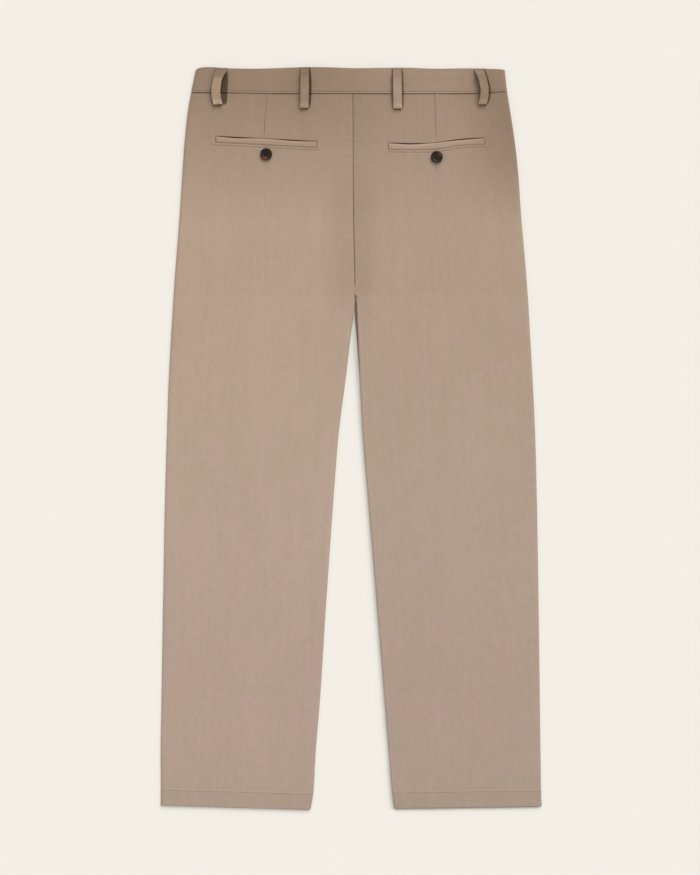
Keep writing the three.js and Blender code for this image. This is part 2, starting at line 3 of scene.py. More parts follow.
import bpy
import numpy as np
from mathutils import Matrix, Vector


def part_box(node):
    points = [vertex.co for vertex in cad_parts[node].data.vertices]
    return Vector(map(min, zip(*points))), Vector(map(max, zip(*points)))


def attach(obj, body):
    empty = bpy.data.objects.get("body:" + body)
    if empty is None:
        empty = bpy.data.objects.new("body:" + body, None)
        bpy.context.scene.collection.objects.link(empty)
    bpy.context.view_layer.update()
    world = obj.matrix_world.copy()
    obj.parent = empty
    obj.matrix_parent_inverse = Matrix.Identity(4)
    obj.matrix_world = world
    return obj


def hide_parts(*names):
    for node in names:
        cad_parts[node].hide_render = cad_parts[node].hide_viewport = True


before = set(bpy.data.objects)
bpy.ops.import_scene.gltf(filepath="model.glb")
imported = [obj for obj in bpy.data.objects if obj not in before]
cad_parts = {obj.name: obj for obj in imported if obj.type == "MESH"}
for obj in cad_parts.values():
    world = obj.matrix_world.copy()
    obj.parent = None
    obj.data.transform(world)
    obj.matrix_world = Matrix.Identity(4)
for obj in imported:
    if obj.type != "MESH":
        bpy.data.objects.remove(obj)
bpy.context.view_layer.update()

# The photograph looks straight down on the trousers, which lie on a plain pale table under soft studio light.
# The camera takes in 980 by 1225 mm of the table, with the waist at the top.
VIEW_HEIGHT = 1.225
VIEW_CENTRE = (-0.0014, 0.001)
LENS = 85.0
SENSOR = 36.0
CLOTH_LEVEL = 0.005

camera = bpy.data.objects.new("camera", bpy.data.cameras.new("camera"))
camera.data.lens = LENS
camera.data.sensor_width = SENSOR
camera.location = (*VIEW_CENTRE, CLOTH_LEVEL + VIEW_HEIGHT * LENS / SENSOR)
bpy.context.scene.collection.objects.link(camera)
bpy.context.scene.camera = camera
bpy.context.scene.view_settings.view_transform = "Standard"

TABLE_SIZE = 8.0
TABLE_LEVEL = -0.0002
TABLE_COLOUR = (0.59, 0.568, 0.521)
TABLE_GLOW = (0.896, 0.863, 0.791)
TABLE_GLOW_SHARE = 0.03


class Wire:
    """A node's output, which takes part in sums: each sum adds a Math node."""

    def __init__(self, socket):
        self.socket = socket

    def math(self, operation, *values):
        return node(self.socket.id_data, "ShaderNodeMath", {"operation": operation}, dict(enumerate(values)))

    def __add__(self, other):
        return self.math("ADD", self, other)

    def __radd__(self, other):
        return self.math("ADD", other, self)

    def __sub__(self, other):
        return self.math("SUBTRACT", self, other)

    def __rsub__(self, other):
        return self.math("SUBTRACT", other, self)

    def __mul__(self, other):
        return self.math("MULTIPLY", self, other)

    def __rmul__(self, other):
        return self.math("MULTIPLY", other, self)

    def __truediv__(self, other):
        return self.math("DIVIDE", self, other)

    def __pow__(self, other):
        return self.math("POWER", self, other)

    def __neg__(self):
        return self.math("MULTIPLY", self, -1.0)

    def sine(self):
        return self.math("SINE", self)

    def between(self, low, high):
        """0 below low and 1 above high, with a soft change."""
        settings = {"interpolation_type": "SMOOTHSTEP"}
        return node(self.socket.id_data, "ShaderNodeMapRange", settings, {"Value": self, 1: low, 2: high})

    def between_linear(self, low, high):
        """0 below low and 1 above high, with a straight change."""
        settings = {"clamp": True}
        return node(self.socket.id_data, "ShaderNodeMapRange", settings, {"Value": self, 1: low, 2: high})

    def within(self, begin, end):
        """1 after the first soft change and before the second, and 0 outside them."""
        return self.between(*begin) * (1.0 - self.between(*end))

    def output(self, name):
        return Wire(self.socket.node.outputs[name])


def node(tree, kind, settings=None, values=None, output=0):
    """Adds a node, sets its settings and then its sockets, and gives back one of its outputs."""
    made = tree.nodes.new(kind)
    for name, value in (settings or {}).items():
        setattr(made, name, value)
    for name, value in (values or {}).items():
        socket = made.inputs[name]
        if isinstance(value, Wire):
            tree.links.new(value.socket, socket)
        else:
            socket.default_value = value
    return Wire(made.outputs[output]) if made.outputs else made


def mix_colours(tree, share, first, second, blend="MIX"):
    settings = {"data_type": "RGBA", "blend_type": blend}
    return node(tree, "ShaderNodeMix", settings, {0: share, 6: first, 7: second}, output=2)


def new_material(name):
    material = bpy.data.materials.new(name)
    material.use_nodes = True
    material.node_tree.nodes.clear()
    return material, material.node_tree


def rgba(colour):
    return (*colour, 1.0)


def principled(tree, sockets):
    """Ends a material's tree with its shader and output."""
    shader = node(tree, "ShaderNodeBsdfPrincipled", {}, sockets)
    node(tree, "ShaderNodeOutputMaterial", {}, {"Surface": shader})


def new_object(name, data):
    made = bpy.data.objects.new(name, data)
    bpy.context.scene.collection.objects.link(made)
    return made


table = bpy.data.meshes.new("table")
half = TABLE_SIZE / 2
corners = ((-half, -half), (half, -half), (half, half), (-half, half))
table.from_pydata([(x, y, TABLE_LEVEL) for x, y in corners], [], [(0, 1, 2, 3)])
table_object = new_object("table", table)
table_material, tree = new_material("painted_table")
principled(tree, {
    "Base Color": rgba(TABLE_COLOUR), "Roughness": 0.95, "Specular IOR Level": 0.1,
    "Emission Color": rgba(TABLE_GLOW), "Emission Strength": TABLE_GLOW_SHARE,
})
table.materials.append(table_material)

SKY_STRENGTH = 0.46
studio = bpy.data.worlds.new("studio")
studio.use_nodes = True
studio.node_tree.nodes["Background"].inputs["Color"].default_value = (1.0, 1.0, 1.0, 1.0)
studio.node_tree.nodes["Background"].inputs["Strength"].default_value = SKY_STRENGTH
bpy.context.scene.world = studio

# Large far softboxes: where each one's light comes from, its strength and how wide it looks in degrees.
SOFTBOXES = [
    ("softbox_over_the_waist", (0.38, 1.0, 0.92), 2.45, 40.0),
    ("softbox_left", (-1.0, 0.1, 0.8), 0.2, 40.0),
    ("softbox_right", (1.0, 0.1, 0.8), 0.2, 40.0),
]


def softbox(name, direction, strength, spread):
    lamp = bpy.data.lights.new(name, "SUN")
    lamp.energy = strength
    lamp.angle = math.radians(spread)
    box = new_object(name, lamp)
    across, along, up = direction
    box.rotation_euler = (math.atan2(math.hypot(across, along), up), 0.0, math.atan2(across, -along))
    return box


for row in SOFTBOXES:
    softbox(*row)

# A low softbox on the right lights the table alone. Only the right leg shades it, so its soft shadow lies
# in the gap between the legs, as in the photograph.
LOW_SOFTBOX = ("softbox_low_right", (1.0, 0.3, 0.5), 3.1, 26.0)
low_softbox = softbox(*LOW_SOFTBOX)
lit_pieces = bpy.data.collections.new("lit_by_the_low_softbox")
lit_pieces.objects.link(table_object)
shading_pieces = bpy.data.collections.new("shading_the_low_softbox")
low_softbox.light_linking.receiver_collection = lit_pieces
low_softbox.light_linking.blocker_collection = shading_pieces

# The two back panels are cotton twill, cut with a dart and a pocket mouth, and sewn together down the seat.
# Their side and inner edges fold round to the fronts beneath, and the hem is turned up 22 mm and stitched.
MM = 0.001
LENGTH = 1036.0
ORIGIN_DOWN = 519.0
BAND_DEPTH = 37.0
HEM_TOP = LENGTH - 22.0
CROTCH = 321.0
CROTCH_EASE = 4.0
SEAM_GAP = 0.3
EDGE_ROLL = 4.5
EDGE_UNDER = 3.0
SEAM_ROLL = 2.6
SEAM_DIP = 0.8
SEAM_TURN = 1.6
EDGE_LEVEL = 0.42
EDGE_DROP = 0.41
SEAM_TUCK = 0.28
PANEL_STEP = 2.9
CLOTH_THICK = 1.1
FRONT_THICK = 1.2
FRONT_INSET = 1.5
HEM_THICK = 1.6
FRONT_CENTRE = 2.4
POCKET_DOWN = 102.0
WELT_DEPTH = 9.3
POCKET_LINE = 3.9
POCKET_SEAM = WELT_DEPTH + POCKET_LINE
HEM_LINE = HEM_TOP + 0.2
HEM_FOLD = HEM_TOP - 4.6
HEM_RISE = 0.3
SIDES = {"left": -1, "right": 1}


def columns(names, *rows):
    """A table with named columns."""
    return dict(zip(names.split(), np.array(rows, float).T))


# The outline seen from behind and the height of the cloth, in millimetres below the waist's edge.
SECTIONS = columns(
    "down left left_in right_in right height",
    (0, -217.8, 2.1, 2.3, 215.3, 6.2),      # waist
    (37, -224.1, 2.4, 2.6, 218.8, 6.1),     # waist seam
    (60, -228.2, 2.6, 2.8, 222.7, 6.1),     # high hip
    (102, -232.8, 2.8, 3.0, 229.2, 6.1),    # pocket
    (144, -235.9, 3.0, 3.2, 234.0, 6.0),    # hip
    (206, -240.0, 3.4, 3.6, 238.4, 5.8),    # seat
    (282, -245.9, 4.9, 5.1, 245.0, 5.2),    # above crotch
    (306, -247.7, 5.3, 5.5, 246.8, 4.9),    # seam end
    (318, -248.5, 5.6, 5.9, 247.7, 4.7),    # crotch
    (330, -249.3, 5.2, 7.7, 248.5, 4.9),    # fork
    (347, -250.3, 3.6, 8.5, 249.5, 5.0),    # inner thigh
    (368, -251.6, 0.5, 9.5, 250.6, 5.0),    # thigh
    (402, -253.5, -3.5, 11.1, 252.6, 4.8),  # mid thigh
    (437, -255.3, -7.6, 12.9, 254.6, 4.5),  # low thigh
    (507, -257.7, -16.6, 16.6, 257.9, 4.1), # above knee
    (612, -260.7, -25.1, 25.3, 260.7, 4.0), # knee
    (752, -263.3, -34.9, 36.8, 263.0, 3.9), # calf
    (892, -265.6, -44.0, 48.2, 264.8, 3.8), # shin
    (962, -266.7, -49.9, 53.9, 265.7, 3.8), # ankle
    (1016, -266.5, -53.2, 58.4, 266.5, 3.8),  # hem
    (1036, -266.8, -56.9, 61.5, 267.3, 3.8),  # leg end
)
BAND_EDGE = columns(
    "across down",
    (-226, 35.2), (-190, 35.4), (-110, 36.6), (0, 37.0), (110, 36.8), (170, 36.4), (219, 33.6),
)
LEG_ENDS = {"left": (1033.8, 1039.7), "right": (1035.0, 1037.9)}

# Below the crotch the right front shows past the back's inner edge, as a strip painted dark for the shade
# between the legs.
FORK_SHOWS = columns(
    "down reach",
    (318, 0.0), (324, 0.5), (330, 1.9), (340, 2.8), (348, 2.9), (358, 2.6), (377, 1.9), (394, 1.3),
    (430, 0.6), (456, 0.0), (1036, 0.0),
)
FORK_SHADE = 0.5

# Soft ridges and troughs: centre, full length, half width, turn from upright and rise.
CREASES = columns(
    "across down length width turn rise",
    (20, 210, 300, 26, -3, -0.6),     # right of the seat seam
    (-14, 235, 190, 20, 2, -0.4),     # left of the seat seam
    (-95, 230, 260, 62, 6, 0.5),      # left seat
    (100, 240, 260, 60, -6, 0.4),     # right seat
    (-205, 150, 190, 20, 4, -0.5),    # left hip slack
    (200, 130, 220, 24, -5, -0.7),    # right hip slack
    (-150, 560, 360, 46, 3, 0.4),     # left knee
    (140, 600, 380, 44, -4, 0.4),     # right knee
    (-205, 820, 330, 30, 0, 0.35),    # left calf
    (100, 850, 340, 28, -6, -0.35),   # right inner calf
    (9, 372, 200, 26, -4, 1.3),       # the thick seams at the fork
    (36, 322, 120, 11, -38, -0.3),    # drag from the crotch, right
    (54, 372, 150, 13, -30, 0.25),
    (-24, 334, 110, 10, 36, -0.25),   # drag from the crotch, left
    (-44, 392, 160, 14, 26, 0.2),
    (-178, 330, 210, 17, 5, -0.22),   # left thigh
    (-62, 470, 260, 18, -7, -0.2),
    (-226, 470, 240, 12, 2, 0.2),
    (212, 340, 230, 15, -4, -0.25),   # right thigh
    (88, 470, 250, 20, 6, -0.22),
    (-118, 760, 300, 17, 1, -0.2),    # left calf
    (-84, 930, 150, 12, 4, 0.18),
    (186, 800, 320, 19, -2, -0.22),   # right calf
    (232, 930, 170, 12, 1, 0.16),
    (-160, 1004, 46, 2.6, 0, -0.32),  # the crease pressed in the left hem
    (-206, 60, 60, 10, 24, -0.3),     # below the outer loops
    (196, 66, 70, 11, -26, -0.35),
)
# Belt loops on the back, how far the painted shadow under each shows beside it, and the painted light on each
# loop's face.
LOOP_FACE = 13.3
BACK_LOOPS = {
    "outer_left": dict(
        top=-183.6, foot=-186.0, end=52.6, face=13.3, lean=-3.8, skew=1.5, rise=6.0, twist=-12, flare=4.6,
        shade_left=1.0, shade_right=9.4, depth_left=0.65, depth_right=0.95, depth_foot=0.8,
        light=1.16, top_light=0.64,
    ),
    "inner_left": dict(
        top=-65.0, foot=-65.3, end=57.8, face=12.2, lean=0.3, skew=1.0, rise=4.2, twist=-4, flare=0,
        shade_left=0.8, shade_right=3.5, depth_left=0.55, depth_right=1.0, depth_foot=0.6,
        light=0.89, top_light=0.66,
    ),
    "inner_right": dict(
        top=64.4, foot=65.4, end=58.2, face=12.3, lean=-0.2, skew=1.0, rise=4.2, twist=3, flare=0,
        shade_left=2.7, shade_right=2.8, depth_left=0.3, depth_right=0.82, depth_foot=0.95,
        light=0.95, top_light=0.73,
    ),
    "outer_right": dict(
        top=179.7, foot=183.8, end=52.4, face=12.1, lean=4.4, skew=1.3, rise=6.0, twist=12, flare=-1.7,
        shade_left=7.8, shade_right=2.7, depth_left=0.1, depth_right=0.95, depth_foot=0.45,
        light=0.85, top_light=0.75,
    ),
}
# What lies under the cloth and lifts it: the front belt loops and the waist button.
FRONT_LOOPS = {"belt_loop_front_left": -112.0, "belt_loop_front_right": 116.0}
WAIST_BUTTON = (FRONT_CENTRE - 14.0, 18.0)
LOOP_LIFT = 1.5
BUTTON_LIFT = 2.9

DARTS = {
    "left": columns("down across", (37, -118.7), (99, -121.7)),
    "right": columns("down across", (37, 116.5), (103, 119.5)),
}
DART_SHADES = {"left": (0.16, 0.5), "right": (0.34, 0.42)}
MOUTHS = {
    "left": columns("across down", (-189, 95.7), (-119, 99.3), (-48.4, 103.0)),
    "right": columns("across down", (52.8, 105.4), (105, 105.8), (121, 104.8), (153, 100.0), (187, 98.2)),
}
LEG_SHADES = {"left": 1.0, "right": 0.945}
POCKET_BUTTONS = {"left": (-118.6, 121.6), "right": (120.1, 125.4)}
HOLE_ENDS = {"left": 138.0, "right": 143.0}


def curve(table, key, column, at):
    """Reads a column at places between its rows, along a smooth curve through them."""
    keys, values = table[key], table[column]
    slopes = np.diff(values) / np.diff(keys)
    turns = np.concatenate([slopes[:1], (slopes[1:] + slopes[:-1]) / 2, slopes[-1:]])
    at = np.clip(at, keys[0], keys[-1])
    i = np.clip(np.searchsorted(keys, at, side="right") - 1, 0, len(slopes) - 1)
    span = keys[i + 1] - keys[i]
    t = (at - keys[i]) / span
    ease = t * t * (3 - 2 * t)
    bend = (t - 1) * t * ((t - 1) * turns[i] + t * turns[i + 1])
    return values[i] + (values[i + 1] - values[i]) * ease + span * bend


def section(down, column):
    return curve(SECTIONS, "down", column, down)


def smooth(at, low, high):
    t = np.clip((at - low) / (high - low), 0, 1)
    return t * t * (3 - 2 * t)


def until(at, low, high):
    """1 before low and 0 past high, with a soft change."""
    return 1 - smooth(at, low, high)


def mesa(distance, half, slope):
    """A level top of height 1 inside a half width, falling smoothly to 0 over its slope."""
    return until(np.abs(distance), half, half + slope)


def bell(distance, width):
    return np.exp(-(distance / width) ** 2)


def mix(first, second, share):
    return first + (second - first) * share


def spaced(*stops):
    """Places from stop to stop, each stretch with its own spacing."""
    places = [np.linspace(a, b, max(1, round((b - a) / step)), endpoint=False) for (a, step), (b, _) in
              zip(stops, stops[1:])]
    return np.concatenate([*places, [stops[-1][0]]])


def underside(across, down):
    loops = [
        LOOP_LIFT * mesa(across - place, 22, 26) * mesa(down, 63, 22) for place in FRONT_LOOPS.values()
    ]
    reach = np.hypot(across - WAIST_BUTTON[0], down - WAIST_BUTTON[1])
    return np.maximum.reduce([*loops, BUTTON_LIFT * mesa(reach, 18, 24)])


def crease_rise(across, down):
    rise = np.zeros(np.broadcast(across, down).shape)
    for place, middle, length, width, turn, height in zip(*CREASES.values()):
        turn = math.radians(turn)
        along = (down - middle) * math.cos(turn) - (across - place) * math.sin(turn)
        aside = (across - place) * math.cos(turn) + (down - middle) * math.sin(turn)
        rise = rise + height * bell(aside, width) * mesa(along, 0, length / 2)
    return rise


RIPPLES = np.random.default_rng(11)
RIPPLE_WAVES = [
    (
        RIPPLES.uniform(26, 120), RIPPLES.uniform(-0.45, 0.45), RIPPLES.uniform(0, 2 * math.pi),
        RIPPLES.uniform(0.5, 1),
    )
    for _ in range(14)
]


def ripple(across, down):
    """The cloth's own slight unevenness, longer down the leg than across it."""
    total = 0
    for wave, turn, start, share in RIPPLE_WAVES:
        phase = 2 * math.pi * (across * math.cos(turn) + down * math.sin(turn) * 0.6) / wave + start
        total = total + share * wave / 120 * np.sin(phase + 0.8 * np.sin(down / 97 + start * 3))
    return 0.085 * total


def cloth_top(across, down):
    lap = 2.6 * mesa(across - WAIST_BUTTON[0], 34, 52) * until(down, 30, 120)
    return section(down, "height") + lap + crease_rise(across, down)


def hem_share(down):
    return smooth(down, HEM_TOP - 2, HEM_TOP)


def seated(across, down, leg, share):
    """How far down a place really lies: the top follows the waistband and the end follows the leg's slant."""
    at_top = until(down, BAND_DEPTH, 100)
    at_end = smooth(down, 850, LENGTH)
    band_edge = curve(BAND_EDGE, "across", "down", across) + SEAM_GAP
    leg_end = mix(*LEG_ENDS[leg], share)
    return down + at_top * (band_edge - BAND_DEPTH) + at_end * (leg_end - LENGTH)


def pocket_shift(across, down, leg):
    """Rows beside the pocket follow its slanted mouth."""
    mouth = curve(MOUTHS[leg], "across", "down", across)
    return (mouth - POCKET_DOWN) * mesa(down - POCKET_DOWN - 5, 16, 34)


def pocket_span(across, leg, reach=0.0, slope=0.7):
    ends = MOUTHS[leg]["across"]
    begun = smooth(across, ends[0] - reach - slope, ends[0] - reach)
    return begun * until(across, ends[-1] + reach, ends[-1] + reach + slope)


def gape(across, leg):
    """How far the welt's edge sags away from the pocket's mouth."""
    ends = MOUTHS[leg]["across"]
    share = (across - ends[0]) / (ends[-1] - ends[0])
    return 0.55 + 1.6 * bell(share - 0.2, 0.16) + 1.35 * bell(share - 0.78, 0.19)


def seam_puckers(across, down, leg):
    """Small puckers that the thread draws in beside the seat seam."""
    seam = section(down, leg + "_in")
    waves = np.sin(down * 0.47 + 2.1 * np.sin(down * 0.061)) + 0.6 * np.sin(down * 0.83 + 1.3)
    return 0.11 * waves * bell(across - seam, 11) * until(down, CROTCH - 60, CROTCH - 10)


def hem_waves(across):
    """How the hem's stitches pull more in some places than in others."""
    return 0.5 * np.sin(across * 0.057 + 0.4) * np.sin(across * 0.19 + 1.0)


def back_relief(across, down, leg):
    """Sewn detail on a back panel, added to the height of its cloth."""
    relief = ripple(across, down) + seam_puckers(across, down, leg)
    # The panel turns in behind the welt, and a slight slope leads to the pocket's mouth.
    below = down - POCKET_DOWN
    sag = gape(across, leg)
    behind = smooth(below, 0, 0.8) * until(below, WELT_DEPTH, WELT_DEPTH + 0.7)
    opened = smooth(below, 0, 0.7) * until(below, sag + 0.7, sag + 1.4)
    relief -= pocket_span(across, leg) * (1.1 * behind + 1.6 * opened)
    relief -= pocket_span(across, leg, 2, 3) * 0.3 * np.exp(-np.maximum(-below, 0) / 2.6) * (below < 0)
    dart = across - curve(DARTS[leg], "down", "across", down)
    sewn = until(down, 90, 104)
    long_span = pocket_span(across, leg, 2.6)
    ends = MOUTHS[leg]["across"]
    caught = smooth(below, -1.2, 0) * until(below, POCKET_SEAM, POCKET_SEAM + 1.2)
    aside, under = across - POCKET_BUTTONS[leg][0], down - POCKET_BUTTONS[leg][1]
    slit = smooth(under, -8, -2) * until(down, HOLE_ENDS[leg] - 2.5, HOLE_ENDS[leg])
    uneven = 0.7 + hem_waves(across)
    # Ridges and grooves: rise, distance and half width.
    for rise, distance, width in (
        (0.34 * sewn, dart - 3.0, 3.0),                              # cloth folded under beside the dart
        (-0.5 * sewn, dart, 0.7),                                    # dart
        (-0.25 * bell(down - 108, 26), dart, 9),                     # hollow at the dart's point
        (-0.28 * long_span, below - POCKET_SEAM, 0.6),               # stitches below the welt
        (0.16 * long_span, below - WELT_DEPTH - POCKET_LINE / 2 - 0.3, 1.3),
        (-0.16 * caught, across - ends[0] + 0.9, 0.7),               # tacks at the pocket's ends
        (-0.16 * caught, across - ends[-1] - 0.9, 0.7),
        (-0.04 * slit, aside, 0.6),                                  # buttonhole
        (-0.35 * bell(under, 13), aside, 13),                        # cloth pulled in by the button
        (-0.22 * uneven, down - HEM_LINE, 0.6),                      # stitches of the hem
        (-0.1 * (1.6 - uneven), down - HEM_FOLD, 0.6),               # raw edge inside the hem
    ):
        relief += rise * bell(distance, width)
    # The turned-up cloth of the hem is slightly twisted.
    twists = np.sin(across * 0.42 + down * 0.24 + 1.7 * np.sin(across * 0.05))
    twists += 0.5 * np.sin(across * 0.71 - down * 0.1)
    return relief + 0.07 * twists * smooth(down, HEM_TOP - 8, HEM_TOP + 3)


def back_shade(across, down, leg):
    """Painted shade and light on a back panel's sewn lines, which are finer than its grid, and round its
    button and welt.
    """
    dart = across - curve(DARTS[leg], "down", "across", down)
    sewn = until(down, 92, 103)
    dart_depth = mix(*DART_SHADES[leg], smooth(down, 50, 90)) * sewn
    from_seam = across - section(down, leg + "_in")
    seam_depth = mix(0.2, 0.42, smooth(down, 90, 220)) * until(down, 302, 308)
    aside, under = across - POCKET_BUTTONS[leg][0], down - POCKET_BUTTONS[leg][1]
    hole_end = HOLE_ENDS[leg]
    below = down - POCKET_DOWN
    shade = 1.0
    # Painted dark and light lines: depth, distance and half width.
    for depth, distance, width in (
        (dart_depth, dart, 0.55),                                    # dart
        (-0.1 * smooth(down, 60, 90) * sewn, dart - 1.7, 0.7),       # light beside the dart
        (0.14, down - BAND_DEPTH - 0.6, 1.2),                        # below the waist seam
        (seam_depth, from_seam, 0.7),                                # seat seam
        (0.06 * smooth(under, 2, 7), np.hypot(aside, under) - 9.0, 1.5),  # round the button's lower rim
        (0.065 * smooth(under, 5, 9) * until(down, hole_end + 1, hole_end + 9), aside, 6.5),
        (0.16 * smooth(under, 5, 9) * until(down, hole_end - 1.5, hole_end), aside, 0.8),  # buttonhole
        (0.16 * pocket_span(across, leg, 2.6), below - POCKET_SEAM, 0.55),  # stitches below the welt
        (0.16 * (0.75 + hem_waves(across)), down - HEM_LINE, 0.55),  # stitches of the hem
        (0.04, down - HEM_FOLD, 0.55),                               # raw edge inside the hem
    ):
        shade = shade * (1 - depth * bell(distance, width))
    # A painted highlight along the right leg's inner edge below the crotch.
    if leg == "right":
        inner_light = 0.2 + 0.08 * until(down, 390, 440)
        shade = shade * (1 + inner_light * bell(from_seam, 3.0) * smooth(down, CROTCH, CROTCH + 6))
    # Painted shade in the pocket's mouth, behind the welt.
    behind = smooth(below, 0, 0.5) * until(below, WELT_DEPTH + 0.2, WELT_DEPTH + 0.8)
    shade = shade * (1 - 0.55 * pocket_span(across, leg) * behind)
    # The hem and the right panel are coloured a little darker.
    return shade * (1 - 0.05 * hem_share(down)) * LEG_SHADES[leg]


def grid_normals(points):
    along_row = np.gradient(points, axis=1)
    down_rows = np.gradient(points, axis=0)
    normals = np.cross(down_rows, along_row)
    return normals / np.maximum(np.linalg.norm(normals, axis=2, keepdims=True), 1e-9)


def rounded(distance, radius):
    """How much of its thickness a folded edge has, this far in from the edge."""
    t = np.clip(distance / radius, 0, 1)
    return np.sqrt(np.clip(1 - (1 - t) ** 2, 0.02, 1))


def shell(name, points, thick, fullness=1.0, floor=None, shade=1.0):
    """A closed thin wall under a grid of points: rows run down, columns to +X. Its UV map holds metres."""
    rows, count = points.shape[:2]
    normals = grid_normals(points)
    thick = np.broadcast_to(thick, (rows, count))[..., None]
    fullness = np.broadcast_to(fullness, (rows, count))[..., None]
    middle = points - normals * thick / 2
    outer = middle + normals * thick / 2 * fullness
    inner = middle - normals * thick / 2 * fullness
    if floor is not None:
        outer[..., 2] = np.maximum(outer[..., 2], floor)
        inner[..., 2] = np.maximum(inner[..., 2], floor)
    index = np.arange(rows * count).reshape(rows, count)
    a, b, c, d = index[:-1, :-1], index[1:, :-1], index[1:, 1:], index[:-1, 1:]
    top = np.stack([a, b, c, d], axis=-1).reshape(-1, 4)
    under = rows * count
    bottom = top[:, ::-1] + under
    left, right = index[:, 0], index[:, -1]
    first, last = index[0], index[-1]
    rim = np.concatenate([
        np.stack([left[1:], left[:-1], left[:-1] + under, left[1:] + under], axis=-1),
        np.stack([right[:-1], right[1:], right[1:] + under, right[:-1] + under], axis=-1),
        np.stack([first[:-1], first[1:], first[1:] + under, first[:-1] + under], axis=-1),
        np.stack([last[1:], last[:-1], last[:-1] + under, last[1:] + under], axis=-1),
    ])
    faces = np.concatenate([top, bottom, rim])
    mesh = bpy.data.meshes.new(name)
    mesh.from_pydata(np.concatenate([outer.reshape(-1, 3), inner.reshape(-1, 3)]) * MM, [], faces)
    steps_across = np.linalg.norm(np.diff(points, axis=1), axis=2)
    steps_down = np.linalg.norm(np.diff(points, axis=0), axis=2)
    u = np.concatenate([np.zeros((rows, 1)), np.cumsum(steps_across, axis=1)], axis=1)
    v = np.concatenate([np.zeros((1, count)), np.cumsum(steps_down, axis=0)], axis=0)
    u = u - u[:, count // 2, None] + 1000
    flat = np.stack([u, v], axis=-1).reshape(-1, 2) * MM
    flat = np.concatenate([flat, flat])
    uv = mesh.uv_layers.new(name="cloth")
    loops = np.empty(len(mesh.loops), dtype=np.int32)
    mesh.loops.foreach_get("vertex_index", loops)
    uv.data.foreach_set("uv", flat[loops].astype(np.float32).ravel())
    mesh.polygons.foreach_set("use_smooth", np.ones(len(mesh.polygons), dtype=bool))
    # Each point's painted shade or light goes into the 'shade' attribute, which multiplies the colour.
    shades = np.tile(np.broadcast_to(shade, (rows, count)).ravel(), 2)
    mesh.attributes.new("shade", "FLOAT", "POINT").data.foreach_set("value", shades.astype(np.float32))
    return new_object(name, mesh)


def place(across, down, height):
    return np.stack(np.broadcast_arrays(across, ORIGIN_DOWN - down, height), axis=-1)


# Colours of the cloth where the yarn lies low and where it lies high, and casts that it takes in places.
YARN_LOW = (0.352, 0.257, 0.195)
YARN_HIGH = (0.564, 0.420, 0.3255)
YARN_CAST = (0.974, 1.0, 0.958)
SEAT_CAST = (1.0, 0.968, 0.955)
# Casts of the legs: the heights between which each comes in, towards the hems.
LEG_CASTS = (
    (-0.14, 0.10, (1.0, 1.0, 1.035)),
    (-0.36, -0.14, (0.968, 0.960, 0.985)),
    (-0.50, -0.40, (0.965, 0.975, 0.955)),
)
# The colour that the painted shade towards the waist, over the right hip and beside the seat seam multiplies
# in.
WAIST_SHADE = (0.665, 0.640, 0.585)
# The colour of the painted shadow under the belt loops.
LOOP_SHADOW_COLOUR = (0.27, 0.245, 0.18)
WALE = 0.00072
SHEEN = 0.12
# Where the seat's cast and the painted shade towards the waist, over the right hip and beside the seat seam
# come in, in metres: each pair holds where a change begins and ends.
SEAT_FROM = (0.0, 0.28)
WAIST_FROM = (0.302, 0.498)
LIT_WAIST = ((-0.06, 0.08), (0.14, 0.21))
RIGHT_HIP = (0.13, 0.25)
HIP_HEIGHTS = ((0.26, 0.40), (0.40, 0.52))
SEAM_SIDES = ((-0.05, -0.008), (0.012, 0.05))
SEAT_HEIGHTS = ((0.14, 0.22), (0.32, 0.40))
# Noises of the twill, as stretch, scale and detail: those that turn with the grain, then those that don't.
GRAINS = {
    "slub": ((9.0, 0.5, 1.0), 210.0, 3.0),
    "fleck": ((1.0, 0.45, 1.0), 1500.0, 2.0),
    "streak": ((5.0, 0.22, 1.0), 34.0, 4.0),
    "spots": ((1.0, 0.6, 1.0), 170.0, 2.0),
}
CLOUDS = {
    "cloud": ((1.0, 0.55, 1.0), 9.0, 3.0),
    "cast": ((1.0, 0.6, 1.0), 42.0, 4.0),
}


def under_loop(x, y, loop):
    """The shade under a belt loop that shows beside it and below its foot, from 0 to 1."""
    down = (ORIGIN_DOWN * MM - y) / MM
    along = (down / loop["end"]).between_linear(0.0, 1.0)
    bow = (along ** loop["skew"] * math.pi).sine()
    middle = loop["top"] + along * (loop["foot"] - loop["top"]) + bow * loop["lean"]
    aside = x / MM - middle
    swell = bow ** 0.35
    left = -(swell * loop["shade_left"] + loop["face"] / 2)
    right = swell * loop["shade_right"] + loop["face"] / 2
    inside = aside.between(left - 0.7, left + 0.5) * (1.0 - aside.between(right - 0.6, right + 0.9))
    depth = loop["depth_left"] + aside.between(-2.0, 2.0) * (loop["depth_right"] - loop["depth_left"])
    below = down.between(loop["end"] + 0.3, loop["end"] + 1.6)
    at_foot = 1.0 - down.between(loop["end"] - 2.5, loop["end"] - 0.5) * (1.0 - loop["depth_foot"])
    return inside * down.between(-0.5, 1.5) * (1.0 - below) * depth * at_foot


